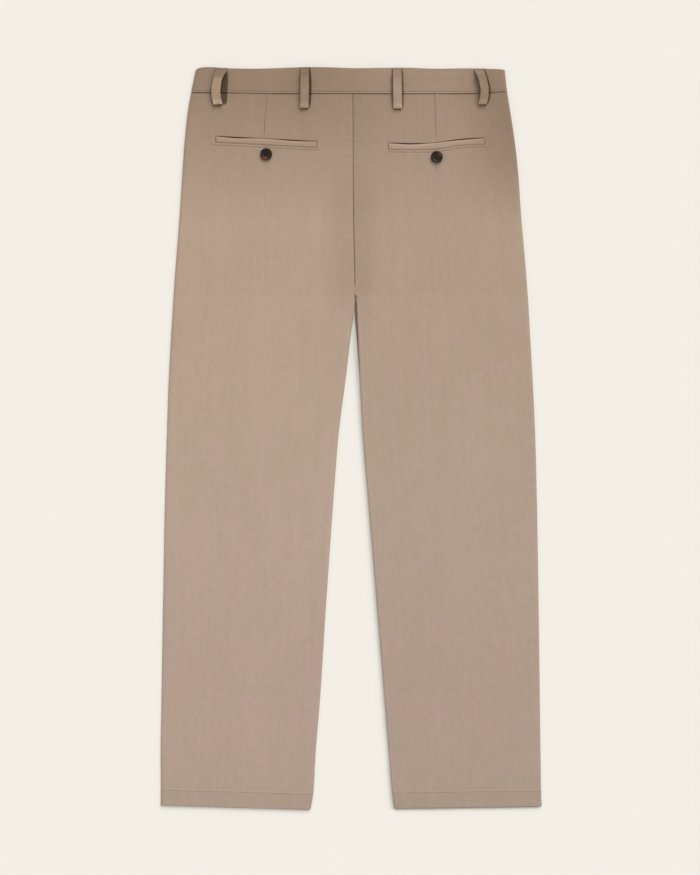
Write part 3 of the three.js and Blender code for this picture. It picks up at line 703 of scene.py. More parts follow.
def twill(name, grain=0.0, tone=1.0, with_loop_shadows=False):
    """Fine cotton twill: steep diagonal wales, slight slubs along the warp, and a dry, soft sheen."""
    material, tree = new_material(name)
    uv = node(tree, "ShaderNodeUVMap", {"uv_map": "cloth"})
    turned = node(tree, "ShaderNodeVectorRotate", {"rotation_type": "Z_AXIS"}, {"Vector": uv, "Angle": grain})
    flat = node(tree, "ShaderNodeSeparateXYZ", {}, {"Vector": turned})
    u, v = flat, flat.output("Y")
    where = node(tree, "ShaderNodeTexCoord", {}, {}, output="Object")
    spot = node(tree, "ShaderNodeSeparateXYZ", {}, {"Vector": where})
    x, y = spot, spot.output("Y")

    def noise(vector, stretch, scale, detail):
        scaled = node(tree, "ShaderNodeVectorMath", {"operation": "MULTIPLY"}, {0: vector, 1: stretch})
        return node(tree, "ShaderNodeTexNoise", {}, {"Vector": scaled, "Scale": scale, "Detail": detail})

    slub, fleck, streak, spots = [noise(turned, *row) for row in GRAINS.values()]
    cloud, cast = [noise(where, *row) for row in CLOUDS.values()]
    wale = ((u * 0.87 + v * 0.5) * (2 * math.pi / WALE) + (slub - 0.5) * 1.6).sine()
    height = wale * 0.35 + fleck * 0.9 + slub * 0.25
    bump = node(tree, "ShaderNodeBump", {}, {"Strength": 0.5, "Distance": 0.00022, "Height": height})
    share = 0.5 + wale * 0.12 + (fleck - 0.5) * 0.5 + (slub - 0.5) * 0.22 + (cloud - 0.5) * 0.2
    share = share + (streak - 0.5) * 0.2 + (spots - 0.5) * 0.28
    colour = mix_colours(tree, share, rgba(YARN_LOW), rgba(YARN_HIGH))
    colour = mix_colours(tree, cast.between(0.38, 0.62), colour, rgba(YARN_CAST), "MULTIPLY")
    colour = mix_colours(tree, y.between(*SEAT_FROM), colour, rgba(SEAT_CAST), "MULTIPLY")
    for low, high, leg_cast in LEG_CASTS:
        colour = mix_colours(tree, 1.0 - y.between(low, high), colour, rgba(leg_cast), "MULTIPLY")
    # Painted shade: darker towards the waist, less so at the waist's middle, darker over the right hip and
    # beside the seat seam, a little uneven.
    at_waist = y.between_linear(*WAIST_FROM) * (1.0 - x.within(*LIT_WAIST) * 0.34)
    hip_from, hip_until = HIP_HEIGHTS
    right_hip = x.between(*RIGHT_HIP) * y.between(*hip_from) * (1.0 - y.between(*hip_until) * 0.8)
    beside_seam, at_seat = x.within(*SEAM_SIDES), y.within(*SEAT_HEIGHTS)
    dim = (at_waist + right_hip * 0.4 + beside_seam * at_seat * 0.33) * (0.9 + cloud * 0.2)
    colour = mix_colours(tree, dim, colour, rgba(WAIST_SHADE), "MULTIPLY")
    # Painted shadow under the belt loops, beside them and below their feet.
    if with_loop_shadows:
        hollow = 0.0
        for loop in BACK_LOOPS.values():
            hollow = under_loop(x, y, loop) + hollow
        colour = mix_colours(tree, hollow, colour, rgba(LOOP_SHADOW_COLOUR), "MULTIPLY")
    # The painted shade and light in the 'shade' attribute, times this copy's brightness, multiply the colour.
    lit = node(tree, "ShaderNodeAttribute", {"attribute_name": "shade"}, {}, output="Fac") * tone
    lit_colour = node(tree, "ShaderNodeCombineColor", {}, {0: lit, 1: lit, 2: lit})
    colour = mix_colours(tree, 1.0, colour, lit_colour, "MULTIPLY")
    principled(tree, {
        "Base Color": colour, "Roughness": 0.92 - wale * 0.04, "Normal": bump, "Sheen Weight": SHEEN,
        "Sheen Roughness": 0.45, "Sheen Tint": (1.0, 0.95, 0.9, 1.0), "Specular IOR Level": 0.25,
    })
    return material


def sewing_thread(name, colour):
    material, tree = new_material(name)
    where = node(tree, "ShaderNodeTexCoord", {}, {}, output="Object")
    twist = node(tree, "ShaderNodeTexNoise", {}, {"Vector": where, "Scale": 2600.0, "Detail": 1.0})
    dark = tuple(0.7 * part for part in colour)
    tone = mix_colours(tree, twist, rgba(dark), rgba(colour))
    bump = node(tree, "ShaderNodeBump", {}, {"Strength": 0.4, "Distance": 0.0001, "Height": twist})
    principled(tree, {
        "Base Color": tone, "Roughness": 0.62, "Normal": bump, "Sheen Weight": 0.2,
    })
    return material


def stitch_tree():
    """Sets stitches along each line of a mesh of edges: an arched length of thread at each step."""
    tree = bpy.data.node_groups.new("stitches", "GeometryNodeTree")
    sockets = tree.interface
    sockets.new_socket("Geometry", in_out="INPUT", socket_type="NodeSocketGeometry")
    for name in ("Pitch", "Length", "Thread", "Rise", "Turn"):
        sockets.new_socket(name, in_out="INPUT", socket_type="NodeSocketFloat")
    sockets.new_socket("Seed", in_out="INPUT", socket_type="NodeSocketInt")
    sockets.new_socket("Material", in_out="INPUT", socket_type="NodeSocketMaterial")
    sockets.new_socket("Geometry", in_out="OUTPUT", socket_type="NodeSocketGeometry")
    given = node(tree, "NodeGroupInput")
    length, thread, rise = given.output("Length"), given.output("Thread"), given.output("Rise")
    end = node(tree, "ShaderNodeCombineXYZ", {}, {"X": length * 0.5, "Z": -thread})
    start = node(tree, "ShaderNodeCombineXYZ", {}, {"X": length * -0.5, "Z": -thread})
    crown = node(tree, "ShaderNodeCombineXYZ", {}, {"Z": rise * 2.0})
    arch = node(tree, "GeometryNodeCurveQuadraticBezier", {}, {
        "Resolution": 4, "Start": start, "Middle": crown, "End": end,
    })
    section_ring = node(tree, "GeometryNodeCurvePrimitiveCircle", {}, {"Resolution": 5, "Radius": thread})
    stitch = node(tree, "GeometryNodeCurveToMesh", {}, {"Curve": arch, "Profile Curve": section_ring,
                                                        "Fill Caps": True})
    line = node(tree, "GeometryNodeMeshToCurve", {}, {"Mesh": given.output("Geometry")})
    stepped = node(tree, "GeometryNodeResampleCurve", {"mode": "LENGTH"}, {"Curve": line,
                                                                         "Length": given.output("Pitch")})
    tangent = node(tree, "GeometryNodeInputTangent")
    facing = node(tree, "FunctionNodeAlignRotationToVector", {"axis": "X", "pivot_axis": "Z"}, {
        "Vector": tangent,
    })
    sway = node(tree, "FunctionNodeRandomValue", {"data_type": "FLOAT"}, {
        2: -0.07, 3: 0.07, "Seed": given.output("Seed"),
    }, output=1)
    turn = node(tree, "ShaderNodeCombineXYZ", {}, {"Z": given.output("Turn") + sway})
    turned = node(tree, "FunctionNodeRotateRotation", {"rotation_space": "LOCAL"}, {
        "Rotation": facing, "Rotate By": node(tree, "FunctionNodeEulerToRotation", {}, {"Euler": turn}),
    })
    size = node(tree, "FunctionNodeRandomValue", {"data_type": "FLOAT"}, {
        2: 0.9, 3: 1.06, "Seed": given.output("Seed") + 7,
    }, output=1)
    placed = node(tree, "GeometryNodeInstanceOnPoints", {}, {
        "Points": stepped, "Instance": stitch, "Rotation": turned,
        "Scale": node(tree, "ShaderNodeCombineXYZ", {}, {"X": size, "Y": size, "Z": 1.0}),
    })
    soft = node(tree, "GeometryNodeSetShadeSmooth", {}, {"Geometry": placed})
    real = node(tree, "GeometryNodeRealizeInstances", {}, {"Geometry": soft})
    dressed = node(tree, "GeometryNodeSetMaterial", {}, {
        "Geometry": real, "Material": given.output("Material"),
    })
    node(tree, "NodeGroupOutput", {}, {"Geometry": dressed})
    return tree


STITCHES = stitch_tree()
SEAM_THREAD = sewing_thread("seam_thread", (0.27, 0.20, 0.145))
HOLE_THREAD = sewing_thread("buttonhole_thread", (0.60, 0.47, 0.35))


def sew(name, lines, pitch=2.9, length=2.5, thread=0.17, rise=0.16, turn=0.0,
        material=SEAM_THREAD):
    """Sews stitches along lines of points in millimetres and makes them one plain mesh."""
    points = [point for line in lines for point in line]
    edges = []
    start = 0
    for line in lines:
        edges += [(start + i, start + i + 1) for i in range(len(line) - 1)]
        start += len(line)
    path = bpy.data.meshes.new(name + "_path")
    path.from_pydata(np.array(points) * MM, edges, [])
    guide = new_object(name + "_path", path)
    maker = guide.modifiers.new("stitches", "NODES")
    maker.node_group = STITCHES
    settings = {"Pitch": pitch * MM, "Length": length * MM, "Thread": thread * MM, "Rise": rise * MM,
                "Turn": math.radians(turn), "Seed": len(points), "Material": material}
    for socket in STITCHES.interface.items_tree:
        if socket.in_out == "INPUT" and socket.name in settings:
            maker[socket.identifier] = settings[socket.name]
    graph = bpy.context.evaluated_depsgraph_get()
    graph.update()
    mesh = bpy.data.meshes.new_from_object(guide.evaluated_get(graph), depsgraph=graph)
    mesh.name = name
    guide.modifiers.remove(maker)
    bpy.data.objects.remove(guide)
    piece = new_object(name, mesh)
    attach(piece, "root")
    return piece


BACK_ROWS = spaced(
    (BAND_DEPTH, 0.9), (44, 2.6), (96, 1.6), (100.6, 0.4), (104.6, 1.4), (110, 0.45), (116.4, 1.8),
    (124, 1.4), (140, 2.8), (262, 2.4), (302, 1.2), (332, 2.4), (352, 3.3), (1007.5, 0.55), (1017, 2.4),
    (1032.6, 0.55), (LENGTH, 0),
)
ROLL = np.radians(np.linspace(-75, 90, 10))


def back_panel(leg):
    side = SIDES[leg]
    down = BACK_ROWS[:, None]
    outer_edge, inner_edge = section(down, leg), section(down, leg + "_in")
    opened = smooth(down, CROTCH - CROTCH_EASE, CROTCH)
    flush = smooth(down, CROTCH - 17, CROTCH - 11)
    seam_roll = mix(mix(SEAM_ROLL, SEAM_ROLL / 2, flush), EDGE_ROLL, opened)
    upper = np.maximum(np.sin(ROLL), 0)
    lower = np.minimum(np.sin(ROLL), 0)
    curl = 1 - np.cos(ROLL)
    # The folded side edge.
    side_x = outer_edge - side * np.where(ROLL >= 0, EDGE_ROLL, EDGE_UNDER) * curl
    side_top = cloth_top(side_x, down)
    side_z = side_top * (EDGE_LEVEL + (1 - EDGE_LEVEL) * upper + EDGE_DROP * lower)
    # The panel between its edges, closer beside the dart and the pocket's ends.
    start, stop = outer_edge - side * EDGE_ROLL, inner_edge + side * seam_roll
    pocket_row = np.argmin(np.abs(BACK_ROWS - POCKET_DOWN))
    low, high = sorted((float(start[pocket_row, 0]), float(stop[pocket_row, 0])))
    dart_x = float(curve(DARTS[leg], "down", "across", POCKET_DOWN))
    ends = MOUTHS[leg]["across"]
    stops = [(low, PANEL_STEP)]
    for centre, reach, fine in ((ends[0], 2.4, 0.6), (dart_x, 2.8, 0.55), (ends[-1], 2.4, 0.6)):
        stops += [(centre - reach, fine), (centre + reach, PANEL_STEP)]
    level_x = spaced(*stops, (high, 0))[1:-1]
    if side < 0:
        share = (level_x - low) / (high - low)
    else:
        share = ((high - level_x) / (high - low))[::-1]
    flat_x = mix(start, stop, share)
    dart_share = abs(dart_x - float(start[pocket_row, 0])) / (high - low)
    drift = curve(DARTS[leg], "down", "across", down) - mix(start, stop, dart_share)
    tent = np.interp(share, [0, dart_share, 1], [0, 1, 0])
    flat_x = flat_x + drift * tent * until(down, 112, 190)
    flat_z = cloth_top(flat_x, down)
    # The seat seam above the crotch, and the folded inner edge of the leg below it.
    back_roll = ROLL[::-1]
    curl = curl[::-1]
    inner_x = inner_edge + side * np.where(back_roll >= 0, seam_roll, mix(0.5, EDGE_UNDER, opened)) * curl
    inner_top = cloth_top(inner_x, down)
    edge_z = mix(inner_top - SEAM_DIP * (1 - 0.9 * flush), inner_top * EDGE_LEVEL, opened)
    drop = mix(SEAM_TURN, edge_z * 0.97, opened)
    if leg == "right":
        on_front = smooth(curve(FORK_SHOWS, "down", "reach", down), 0, 1)
        drop = mix(drop, edge_z - FRONT_THICK - SEAM_GAP, on_front)
    inner_z = edge_z + (inner_top - edge_z) * upper[::-1] + drop * lower[::-1]
    across = np.concatenate([side_x, flat_x, inner_x], axis=1)
    height = np.concatenate([side_z, flat_z, inner_z], axis=1)
    level = np.concatenate([upper, np.ones(len(share)), upper[::-1]])
    shares = np.concatenate([np.zeros(len(ROLL)), share, np.ones(len(ROLL))])
    tucked = SEAM_TUCK * until(down, BAND_DEPTH, BAND_DEPTH + 2.0)
    height = height + level * (back_relief(across, down, leg) + HEM_RISE * hem_share(down) - tucked)
    really = seated(across, down, leg, shares) + pocket_shift(across, down, leg) * level
    points = place(across, really, height)
    if side > 0:
        points = points[:, ::-1]
    thick = mix(CLOTH_THICK, HEM_THICK, hem_share(down))
    shade = back_shade(across, down, leg)
    if side > 0:
        shade = shade[:, ::-1]
    return shell(f"back_panel_{leg}", points, thick, rounded(LENGTH - down, 0.8), floor=0.05, shade=shade)


def on_back(across, down, leg):
    """A point on a back panel's cloth."""
    side = SIDES[leg]
    start, stop = section(down, leg) - side * EDGE_ROLL, section(down, leg + "_in")
    share = np.clip((across - start) / (stop - start), 0, 1)
    really = seated(across, down, leg, share) + pocket_shift(across, down, leg)
    height = cloth_top(across, down) + back_relief(across, down, leg) + HEM_RISE * hem_share(down)
    return place(across, really, height)


PANEL_TWILL = twill("panel_twill", with_loop_shadows=True)
BACK_CUTS = {"left": ((0.263, 1.002), 0.245), "right": ((0.254, 1.000), 0.239)}
for leg, (flat_size, flat_area) in BACK_CUTS.items():
    panel = back_panel(leg)
    panel.data.materials.append(PANEL_TWILL)
    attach(panel, "root")
    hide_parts(f"back_{leg}")
    if leg == "right":
        shading_pieces.objects.link(panel)

    side = SIDES[leg]
    hem_ends = section(HEM_TOP, leg) - side * 3.2, section(HEM_TOP, leg + "_in") + side * 3.2
    hem_across = np.linspace(*hem_ends, 90)
    pocket = MOUTHS[leg]["across"]
    line_across = np.linspace(pocket[0] - 2.2, pocket[-1] + 2.2, 60)
    line_down = np.full_like(line_across, POCKET_DOWN + POCKET_SEAM)
    sew(f"back_hem_stitches_{leg}", [on_back(hem_across, np.full_like(hem_across, HEM_LINE), leg)])
    sew(f"pocket_stitches_{leg}", [on_back(line_across, line_down, leg)], pitch=2.4, length=2.0)
    end_down = np.linspace(POCKET_DOWN - 0.8, POCKET_DOWN + POCKET_SEAM, 12)
    tacks = [
        on_back(np.full_like(end_down, pocket[0] - 0.9), end_down, leg),
        on_back(np.full_like(end_down, pocket[-1] + 0.9), end_down, leg),
    ]
    sew(f"pocket_tacks_{leg}", tacks, pitch=0.62, length=1.0, thread=0.13, rise=0.1, turn=90)
    hole_across, button_down = POCKET_BUTTONS[leg]
    hole_down = np.linspace(button_down - 6, HOLE_ENDS[leg], 16)
    flare = 0.75 + 0.5 * smooth(hole_down, HOLE_ENDS[leg] - 9, HOLE_ENDS[leg])
    purls = [
        on_back(hole_across - flare, hole_down, leg) + (0, 0, 0.05),
        on_back(hole_across + flare, hole_down, leg) + (0, 0, 0.05),
    ]
    sew(f"buttonhole_stitches_{leg}", purls, pitch=0.5, length=1.25, thread=0.15, rise=0.22, turn=90,
        material=HOLE_THREAD)

# The two front panels lie under the backs with their outer side down on the table. Each has a slant pocket
# in its side and a turned-up hem, and the left one's fly is stitched down in a J.
HEM_INSET = 1.7
FLY_LINE = 34.0
FLY_STRAIGHT = 150.0
FLY_END = 200.0
SLANT_TOP = 42.0
SLANT_END = 200.0
SLANT_LINE = 6.0


def front_inner(down, leg):
    side = SIDES[leg]
    opened = smooth(down, CROTCH - 2 * CROTCH_EASE, CROTCH - CROTCH_EASE)
    inset = FRONT_INSET + HEM_INSET * smooth(down, HEM_TOP - 6, HEM_TOP - 2)
    centre = mix(FRONT_CENTRE, section(down, "left_in") + SEAM_GAP, smooth(down, 40, 260))
    if leg == "right":
        reach = curve(FORK_SHOWS, "down", "reach", down)
        inset = inset - reach - FRONT_INSET * smooth(reach, 0, 1)
    return mix(centre + side * SEAM_GAP / 2, section(down, leg + "_in") + side * inset, opened)


def front_outer(down, leg):
    side = SIDES[leg]
    inset = FRONT_INSET + HEM_INSET * smooth(down, HEM_TOP - 6, HEM_TOP - 2)
    return section(down, leg) - side * inset


def fly_line(down):
    t = np.clip((down - FLY_STRAIGHT) / (FLY_END - FLY_STRAIGHT), 0, 1)
    return FRONT_CENTRE - FLY_LINE * np.sqrt(1 - t * t)


def slant_line(down, leg, inward):
    """A slant pocket's edge, or its stitching a little inward of it."""
    side = SIDES[leg]
    share = (down - BAND_DEPTH) / (SLANT_END - BAND_DEPTH)
    top, bottom = front_outer(BAND_DEPTH, leg) - side * SLANT_TOP, front_outer(SLANT_END, leg) - side * 2
    return mix(top, bottom, share) - side * inward


def front_dent(across, down, leg):
    """How far the sewn lines sink into the front's outer side, which faces the table."""
    dent = 0.3 * bell(down - HEM_LINE, 0.8)
    on_slant = until(down, SLANT_END - 4, SLANT_END)
    dent = dent + on_slant * 0.5 * bell(across - slant_line(down, leg, 0), 1.1)
    dent = dent + on_slant * 0.25 * bell(across - slant_line(down, leg, SLANT_LINE), 0.9)
    if leg == "left":
        on_fly = until(down, FLY_END - 2, FLY_END)
        dent = dent + on_fly * 0.25 * bell(across - fly_line(down), 0.9)
    return dent


FRONT_ROWS = spaced(
    (BAND_DEPTH, 1.6), (205, 3.2), (262, 2.8), (470, 5.5), (1006, 1.5), (1012, 0.7), (1017, 3.0), (1033, 0.8),
    (LENGTH, 0),
)


def front_panel(leg):
    down = FRONT_ROWS[:, None]
    edges = (front_outer(down, leg), front_inner(down, leg))
    first, last = sorted(edges, key=lambda edge: float(edge.mean()))
    share = spaced((0, 0.004), (0.024, 0.0145), (0.976, 0.004), (1, 0))
    across = mix(first, last, share)
    from_side = share if leg == "left" else 1 - share
    really = seated(across, down, leg, from_side)
    thick = mix(FRONT_THICK, HEM_THICK, hem_share(down))
    edges = np.minimum(across - first, last - across)
    height = underside(across, down) + thick + 0.4 * front_dent(across, down, leg)
    fullness = rounded(LENGTH - down, 0.8) * rounded(edges + 0.15, 0.6)
    thinned = thick - 0.6 * front_dent(across, down, leg)
    # Painted shade on the strip of the right front that shows between the legs below the crotch.
    beyond = (section(down, leg + "_in") - across) if leg == "right" else 0 * across
    shade = 1 - (1 - FORK_SHADE) * smooth(beyond, -1.0, 0.0) * smooth(down, CROTCH - 6, CROTCH)
    points = place(across, really, height)
    return shell(f"front_panel_{leg}", points, thinned, fullness, floor=0.0, shade=shade)


def under_front(across, down, leg):
    """A point on the front's outer side, just below its cloth's sewn line."""
    side = SIDES[leg]
    start, stop = front_outer(down, leg), front_inner(down, leg)
    share = np.clip((across - start) / (stop - start), 0, 1)
    height = underside(across, down) + front_dent(across, down, leg)
    return place(across, seated(across, down, leg, share), height)


FRONT_CUTS = {"left": ((0.254, 1.002), 0.232), "right": ((0.247, 1.000), 0.226)}
for leg, (flat_size, flat_area) in FRONT_CUTS.items():
    panel = front_panel(leg)
    panel.data.materials.append(PANEL_TWILL)
    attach(panel, "root")
    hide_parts(f"front_{leg}")
    if leg == "right":
        shading_pieces.objects.link(panel)
    hem_across = np.linspace(float(front_outer(HEM_TOP, leg)), float(front_inner(HEM_TOP, leg)), 60)
    slant_down = np.linspace(BAND_DEPTH + 2, SLANT_END - 3, 40)
    lines = [
        under_front(hem_across, np.full_like(hem_across, HEM_LINE), leg),
        under_front(slant_line(slant_down, leg, SLANT_LINE), slant_down, leg),
    ]
    if leg == "left":
        fly_bend = FLY_STRAIGHT + (FLY_END - FLY_STRAIGHT) * np.sin(np.linspace(0.1, 1.5, 16))
        fly_down = np.concatenate([np.linspace(BAND_DEPTH + 2, FLY_STRAIGHT, 24), fly_bend])
        lines.append(under_front(fly_line(fly_down), fly_down, leg))
    sew(f"front_stitches_{leg}", lines, rise=-0.02, thread=0.15)

# The fly shield is a strip of the same twill inside the fly. It lies behind the left front, and is sewn
# along the right front's edge.
SHIELD_WIDTH = 38.0
SHIELD_SEAM = 6.0
SHIELD_STRAIGHT = 150.0
SHIELD_END = 205.0
SHIELD_THICK = 1.0

down = spaced((BAND_DEPTH, 4), (SHIELD_STRAIGHT, 1.5), (SHIELD_END, 0))[:, None]
t = np.clip((down - SHIELD_STRAIGHT) / (SHIELD_END - SHIELD_STRAIGHT), 0, 1)
width = SHIELD_WIDTH * np.sqrt(1 - t * t)
first, last = FRONT_CENTRE - width, FRONT_CENTRE + SHIELD_SEAM
across = mix(first, last, np.linspace(0, 1, 24))
height = underside(across, down) + FRONT_THICK + 2 * SEAM_GAP + SHIELD_THICK
edges = np.minimum(across - first, last - across)
fly_shield = shell(
    "fly_shield_cloth", place(across, seated(across, down, "left", 1.0), height), SHIELD_THICK,
    rounded(edges + 0.1, 0.5),
)
fly_shield.data.materials.append(PANEL_TWILL)
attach(fly_shield, "root")
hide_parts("fly_shield")

# The waistband is one strip of twill folded along its top edge over a stiff interlining. It is stitched down
# just above its seam and goes all round, and its left end laps over its right end at the centre front.
BAND_THICK = 1.8
BAND_STEP = 0.8
BAND_FOLD = 5.0
BAND_LAP = 40.0
LAP_FROM = 3.0
LAP_TO = 16.0
LAP_STEP = BAND_THICK + SEAM_GAP + 0.1
BAND_LINE = 2.7
TURN_STEPS = 13
FRONT_STEPS = 90
LAP_STEPS = 16
BACK_STEPS = 210
WAIST_EDGE = columns(
    "across sag",
    (-218, 4.2), (-214, 1.3), (-203, -0.4), (-172, 1.2), (-130, 1.7), (-68, -0.1), (-25, 0.4), (4, 1.5),
    (50, 0.7), (80, 0.4), (112, 1.7), (165, 1.3), (196, 2.0), (215, 3.0),
)


def band_top(across):
    return cloth_top(across, BAND_DEPTH) + BAND_STEP


def band_row(share):
    """One line of points round the waist, this share of the way from the band's top edge to its seam."""
    outline = share * BAND_DEPTH
    left, right = float(section(outline, "left")), float(section(outline, "right"))
    middle = BAND_THICK / 2
    turns = np.radians(np.linspace(-90, 90, TURN_STEPS))

    def low(x):
        return underside(x, outline) + middle

    def lapped(x):
        return low(x) + LAP_STEP * until(x - FRONT_CENTRE, LAP_FROM, LAP_TO)

    def high(x):
        return band_top(x) - middle

    def fold(edge, side, angles):
        turn_at = edge - side * BAND_FOLD
        centre = (low(turn_at) + high(turn_at)) / 2
        x = edge - side * middle - side * (BAND_FOLD - middle) * (1 - np.cos(angles))
        return x, centre + np.sin(angles) * (high(turn_at) - centre)

    front_left = np.linspace(FRONT_CENTRE, left + BAND_FOLD, FRONT_STEPS, endpoint=False)
    back = np.linspace(left + BAND_FOLD, right - BAND_FOLD, BACK_STEPS)[1:-1]
    front_right = np.linspace(right - BAND_FOLD, FRONT_CENTRE - BAND_LAP, FRONT_STEPS + LAP_STEPS)[1:]
    left_x, left_z = fold(left, -1, turns)
    right_x, right_z = fold(right, 1, turns[::-1])
    x = np.concatenate([front_left, left_x, back, right_x, front_right])
    z = np.concatenate([low(front_left), left_z, high(back), right_z, lapped(front_right)])
    turning = np.linspace(0, 1, len(turns))
    on_back = np.concatenate([
        np.zeros(len(front_left)), turning, np.ones(len(back)), turning[::-1], np.zeros(len(front_right)),
    ])
    return x, z, on_back


def band_relief(x, down):
    """The stitched line, the bead between it and the seam, and small puckers along both."""
    line = BAND_DEPTH - BAND_LINE
    puckers = np.sin(x * 0.52 + 1.4 * np.sin(x * 0.043)) + 0.55 * np.sin(x * 0.93 + 0.7)
    relief = 0.07 * puckers * np.exp(-np.abs(down - line) / 7)
    relief = relief - 0.4 * bell(down - line, 0.6) + 0.2 * bell(down - line - 1.5, 1.0)
    relief = relief + 0.22 * np.sin(math.pi * np.clip(down / line, 0, 1)) * (0.7 + 0.3 * np.sin(x * 0.031))
    return relief + 0.6 * ripple(x * 1.3, down * 2 + 700)


BAND_SHARES = spaced((0, 0.008), (0.05, 0.045), (0.86, 0.0125), (1, 0))


def band_down(x, share):
    return mix(curve(WAIST_EDGE, "across", "sag", x), curve(BAND_EDGE, "across", "down", x), share)


def waistband():
    rows = []
    relief = []
    for share in BAND_SHARES:
        x, z, on_back = band_row(share)
        tangent = np.stack([np.gradient(x), np.gradient(z)], axis=-1)
        tangent /= np.linalg.norm(tangent, axis=-1, keepdims=True)
        out = np.stack([-tangent[:, 1], tangent[:, 0]], axis=-1)
        grow = BAND_THICK / 2 + on_back * band_relief(x, share * BAND_DEPTH)
        rows.append(place(x + out[:, 0] * grow, band_down(x, share), z + out[:, 1] * grow))
        relief.append(on_back * band_relief(x, share * BAND_DEPTH))
    points = np.array(rows)
    from_edge = np.minimum(BAND_SHARES, 1 - BAND_SHARES)[:, None] * BAND_DEPTH
    from_end = np.minimum(np.arange(points.shape[1]), np.arange(points.shape[1])[::-1])[None, :] * 2.4
    thick = BAND_THICK + np.array(relief)
    # Painted shade along the stitched line, and a painted highlight on the bead between it and the seam.
    from_line = (BAND_SHARES * BAND_DEPTH - BAND_DEPTH + BAND_LINE)[:, None]
    sunk = mix(0.36, 0.26, smooth(points[..., 0], -20, 60))
    shade = (1 - sunk * bell(from_line, 0.65)) * (1 + 0.2 * bell(from_line - 1.6, 0.9))
    fullness = rounded(from_edge, 1.0) * rounded(from_end + 0.1, 1.0)
    return shell("waistband_cloth", points, thick, fullness, shade=shade)


def on_band(x, down):
    outline = down / BAND_DEPTH
    return place(x, band_down(x, outline), band_top(x) + band_relief(x, down))


BAND_TWILL = twill("band_twill", grain=math.pi / 2, tone=0.98, with_loop_shadows=True)
band = waistband()
band.data.materials.append(BAND_TWILL)
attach(band, "root")
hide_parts("waistband")
stitched = np.linspace(-217, 211, 200)
band_lines = [on_band(stitched, np.full_like(stitched, BAND_DEPTH - BAND_LINE))]
sew("waistband_stitches", band_lines)
for side, reach in (("left", (FRONT_CENTRE - 3, -216)), ("right", (210, FRONT_CENTRE + LAP_TO))):
    x = np.linspace(*reach, 90)
    down = BAND_DEPTH - BAND_LINE
    line = place(x, band_down(x, down / BAND_DEPTH), underside(x, down) + 0.2)
    sew(f"waistband_front_stitches_{side}", [line], rise=-0.02, thread=0.15)

# Belt loops are strips folded in three, 12.5 mm wide, and tacked down at both ends. Those on the back stand
# off the waistband, and the outer two lean outwards, so that the hollow behind them shows, with painted
# shadow in it.
LOOP_THICK = 1.5
LOOP_START = 0.8
LOOP_RAMP = 12.0
LOOP_FOLD = 0.5
LOOP_EDGE_LINE = 2.0


def loop_rest(x, down):
    over_band = until(down, BAND_DEPTH - 2, BAND_DEPTH + 13)
    return mix(cloth_top(x, down), band_top(x), over_band)


def loop_surface(loop, down, across):
    """A point of a loop's outer side: down from the waist's edge, and across from the loop's own middle."""
    start = float(curve(WAIST_EDGE, "across", "sag", loop["top"]))
    bow = np.sin(math.pi * np.clip(down / loop["end"], 0, 1) ** loop["skew"])
    middle = mix(loop["top"], loop["foot"], down / loop["end"]) + loop["lean"] * bow
    stand = loop["rise"] * smooth(down, 1, LOOP_RAMP) * mix(LOOP_FOLD, 1, smooth(loop["end"] - down, 0, 26))
    edges = [loop_rest(middle + edge, down) for edge in (-LOOP_FACE / 2, 0, LOOP_FACE / 2)]
    rest = np.maximum.reduce(edges)
    twist = math.radians(1) * loop["twist"] * bow
    line = bell(np.abs(across) - LOOP_FACE / 2 + LOOP_EDGE_LINE, 0.5)
    crown = 0.28 * (1 - (2 * across / LOOP_FACE) ** 2) - 0.2 * line
    height = rest + 0.4 + stand + LOOP_THICK + crown - across * np.sin(twist)
    outward = across if loop["flare"] >= 0 else -across
    flare = loop["flare"] * until(down, 2, 19) * np.clip(2 * outward / LOOP_FACE, 0, 1)
    x = middle + across * loop["face"] / LOOP_FACE * np.cos(twist) + flare
    wobble = 0.12 * np.sin(down * 0.45 + across * 0.2)
    return place(x + wobble, down + start * (1 - down / loop["end"]), height)


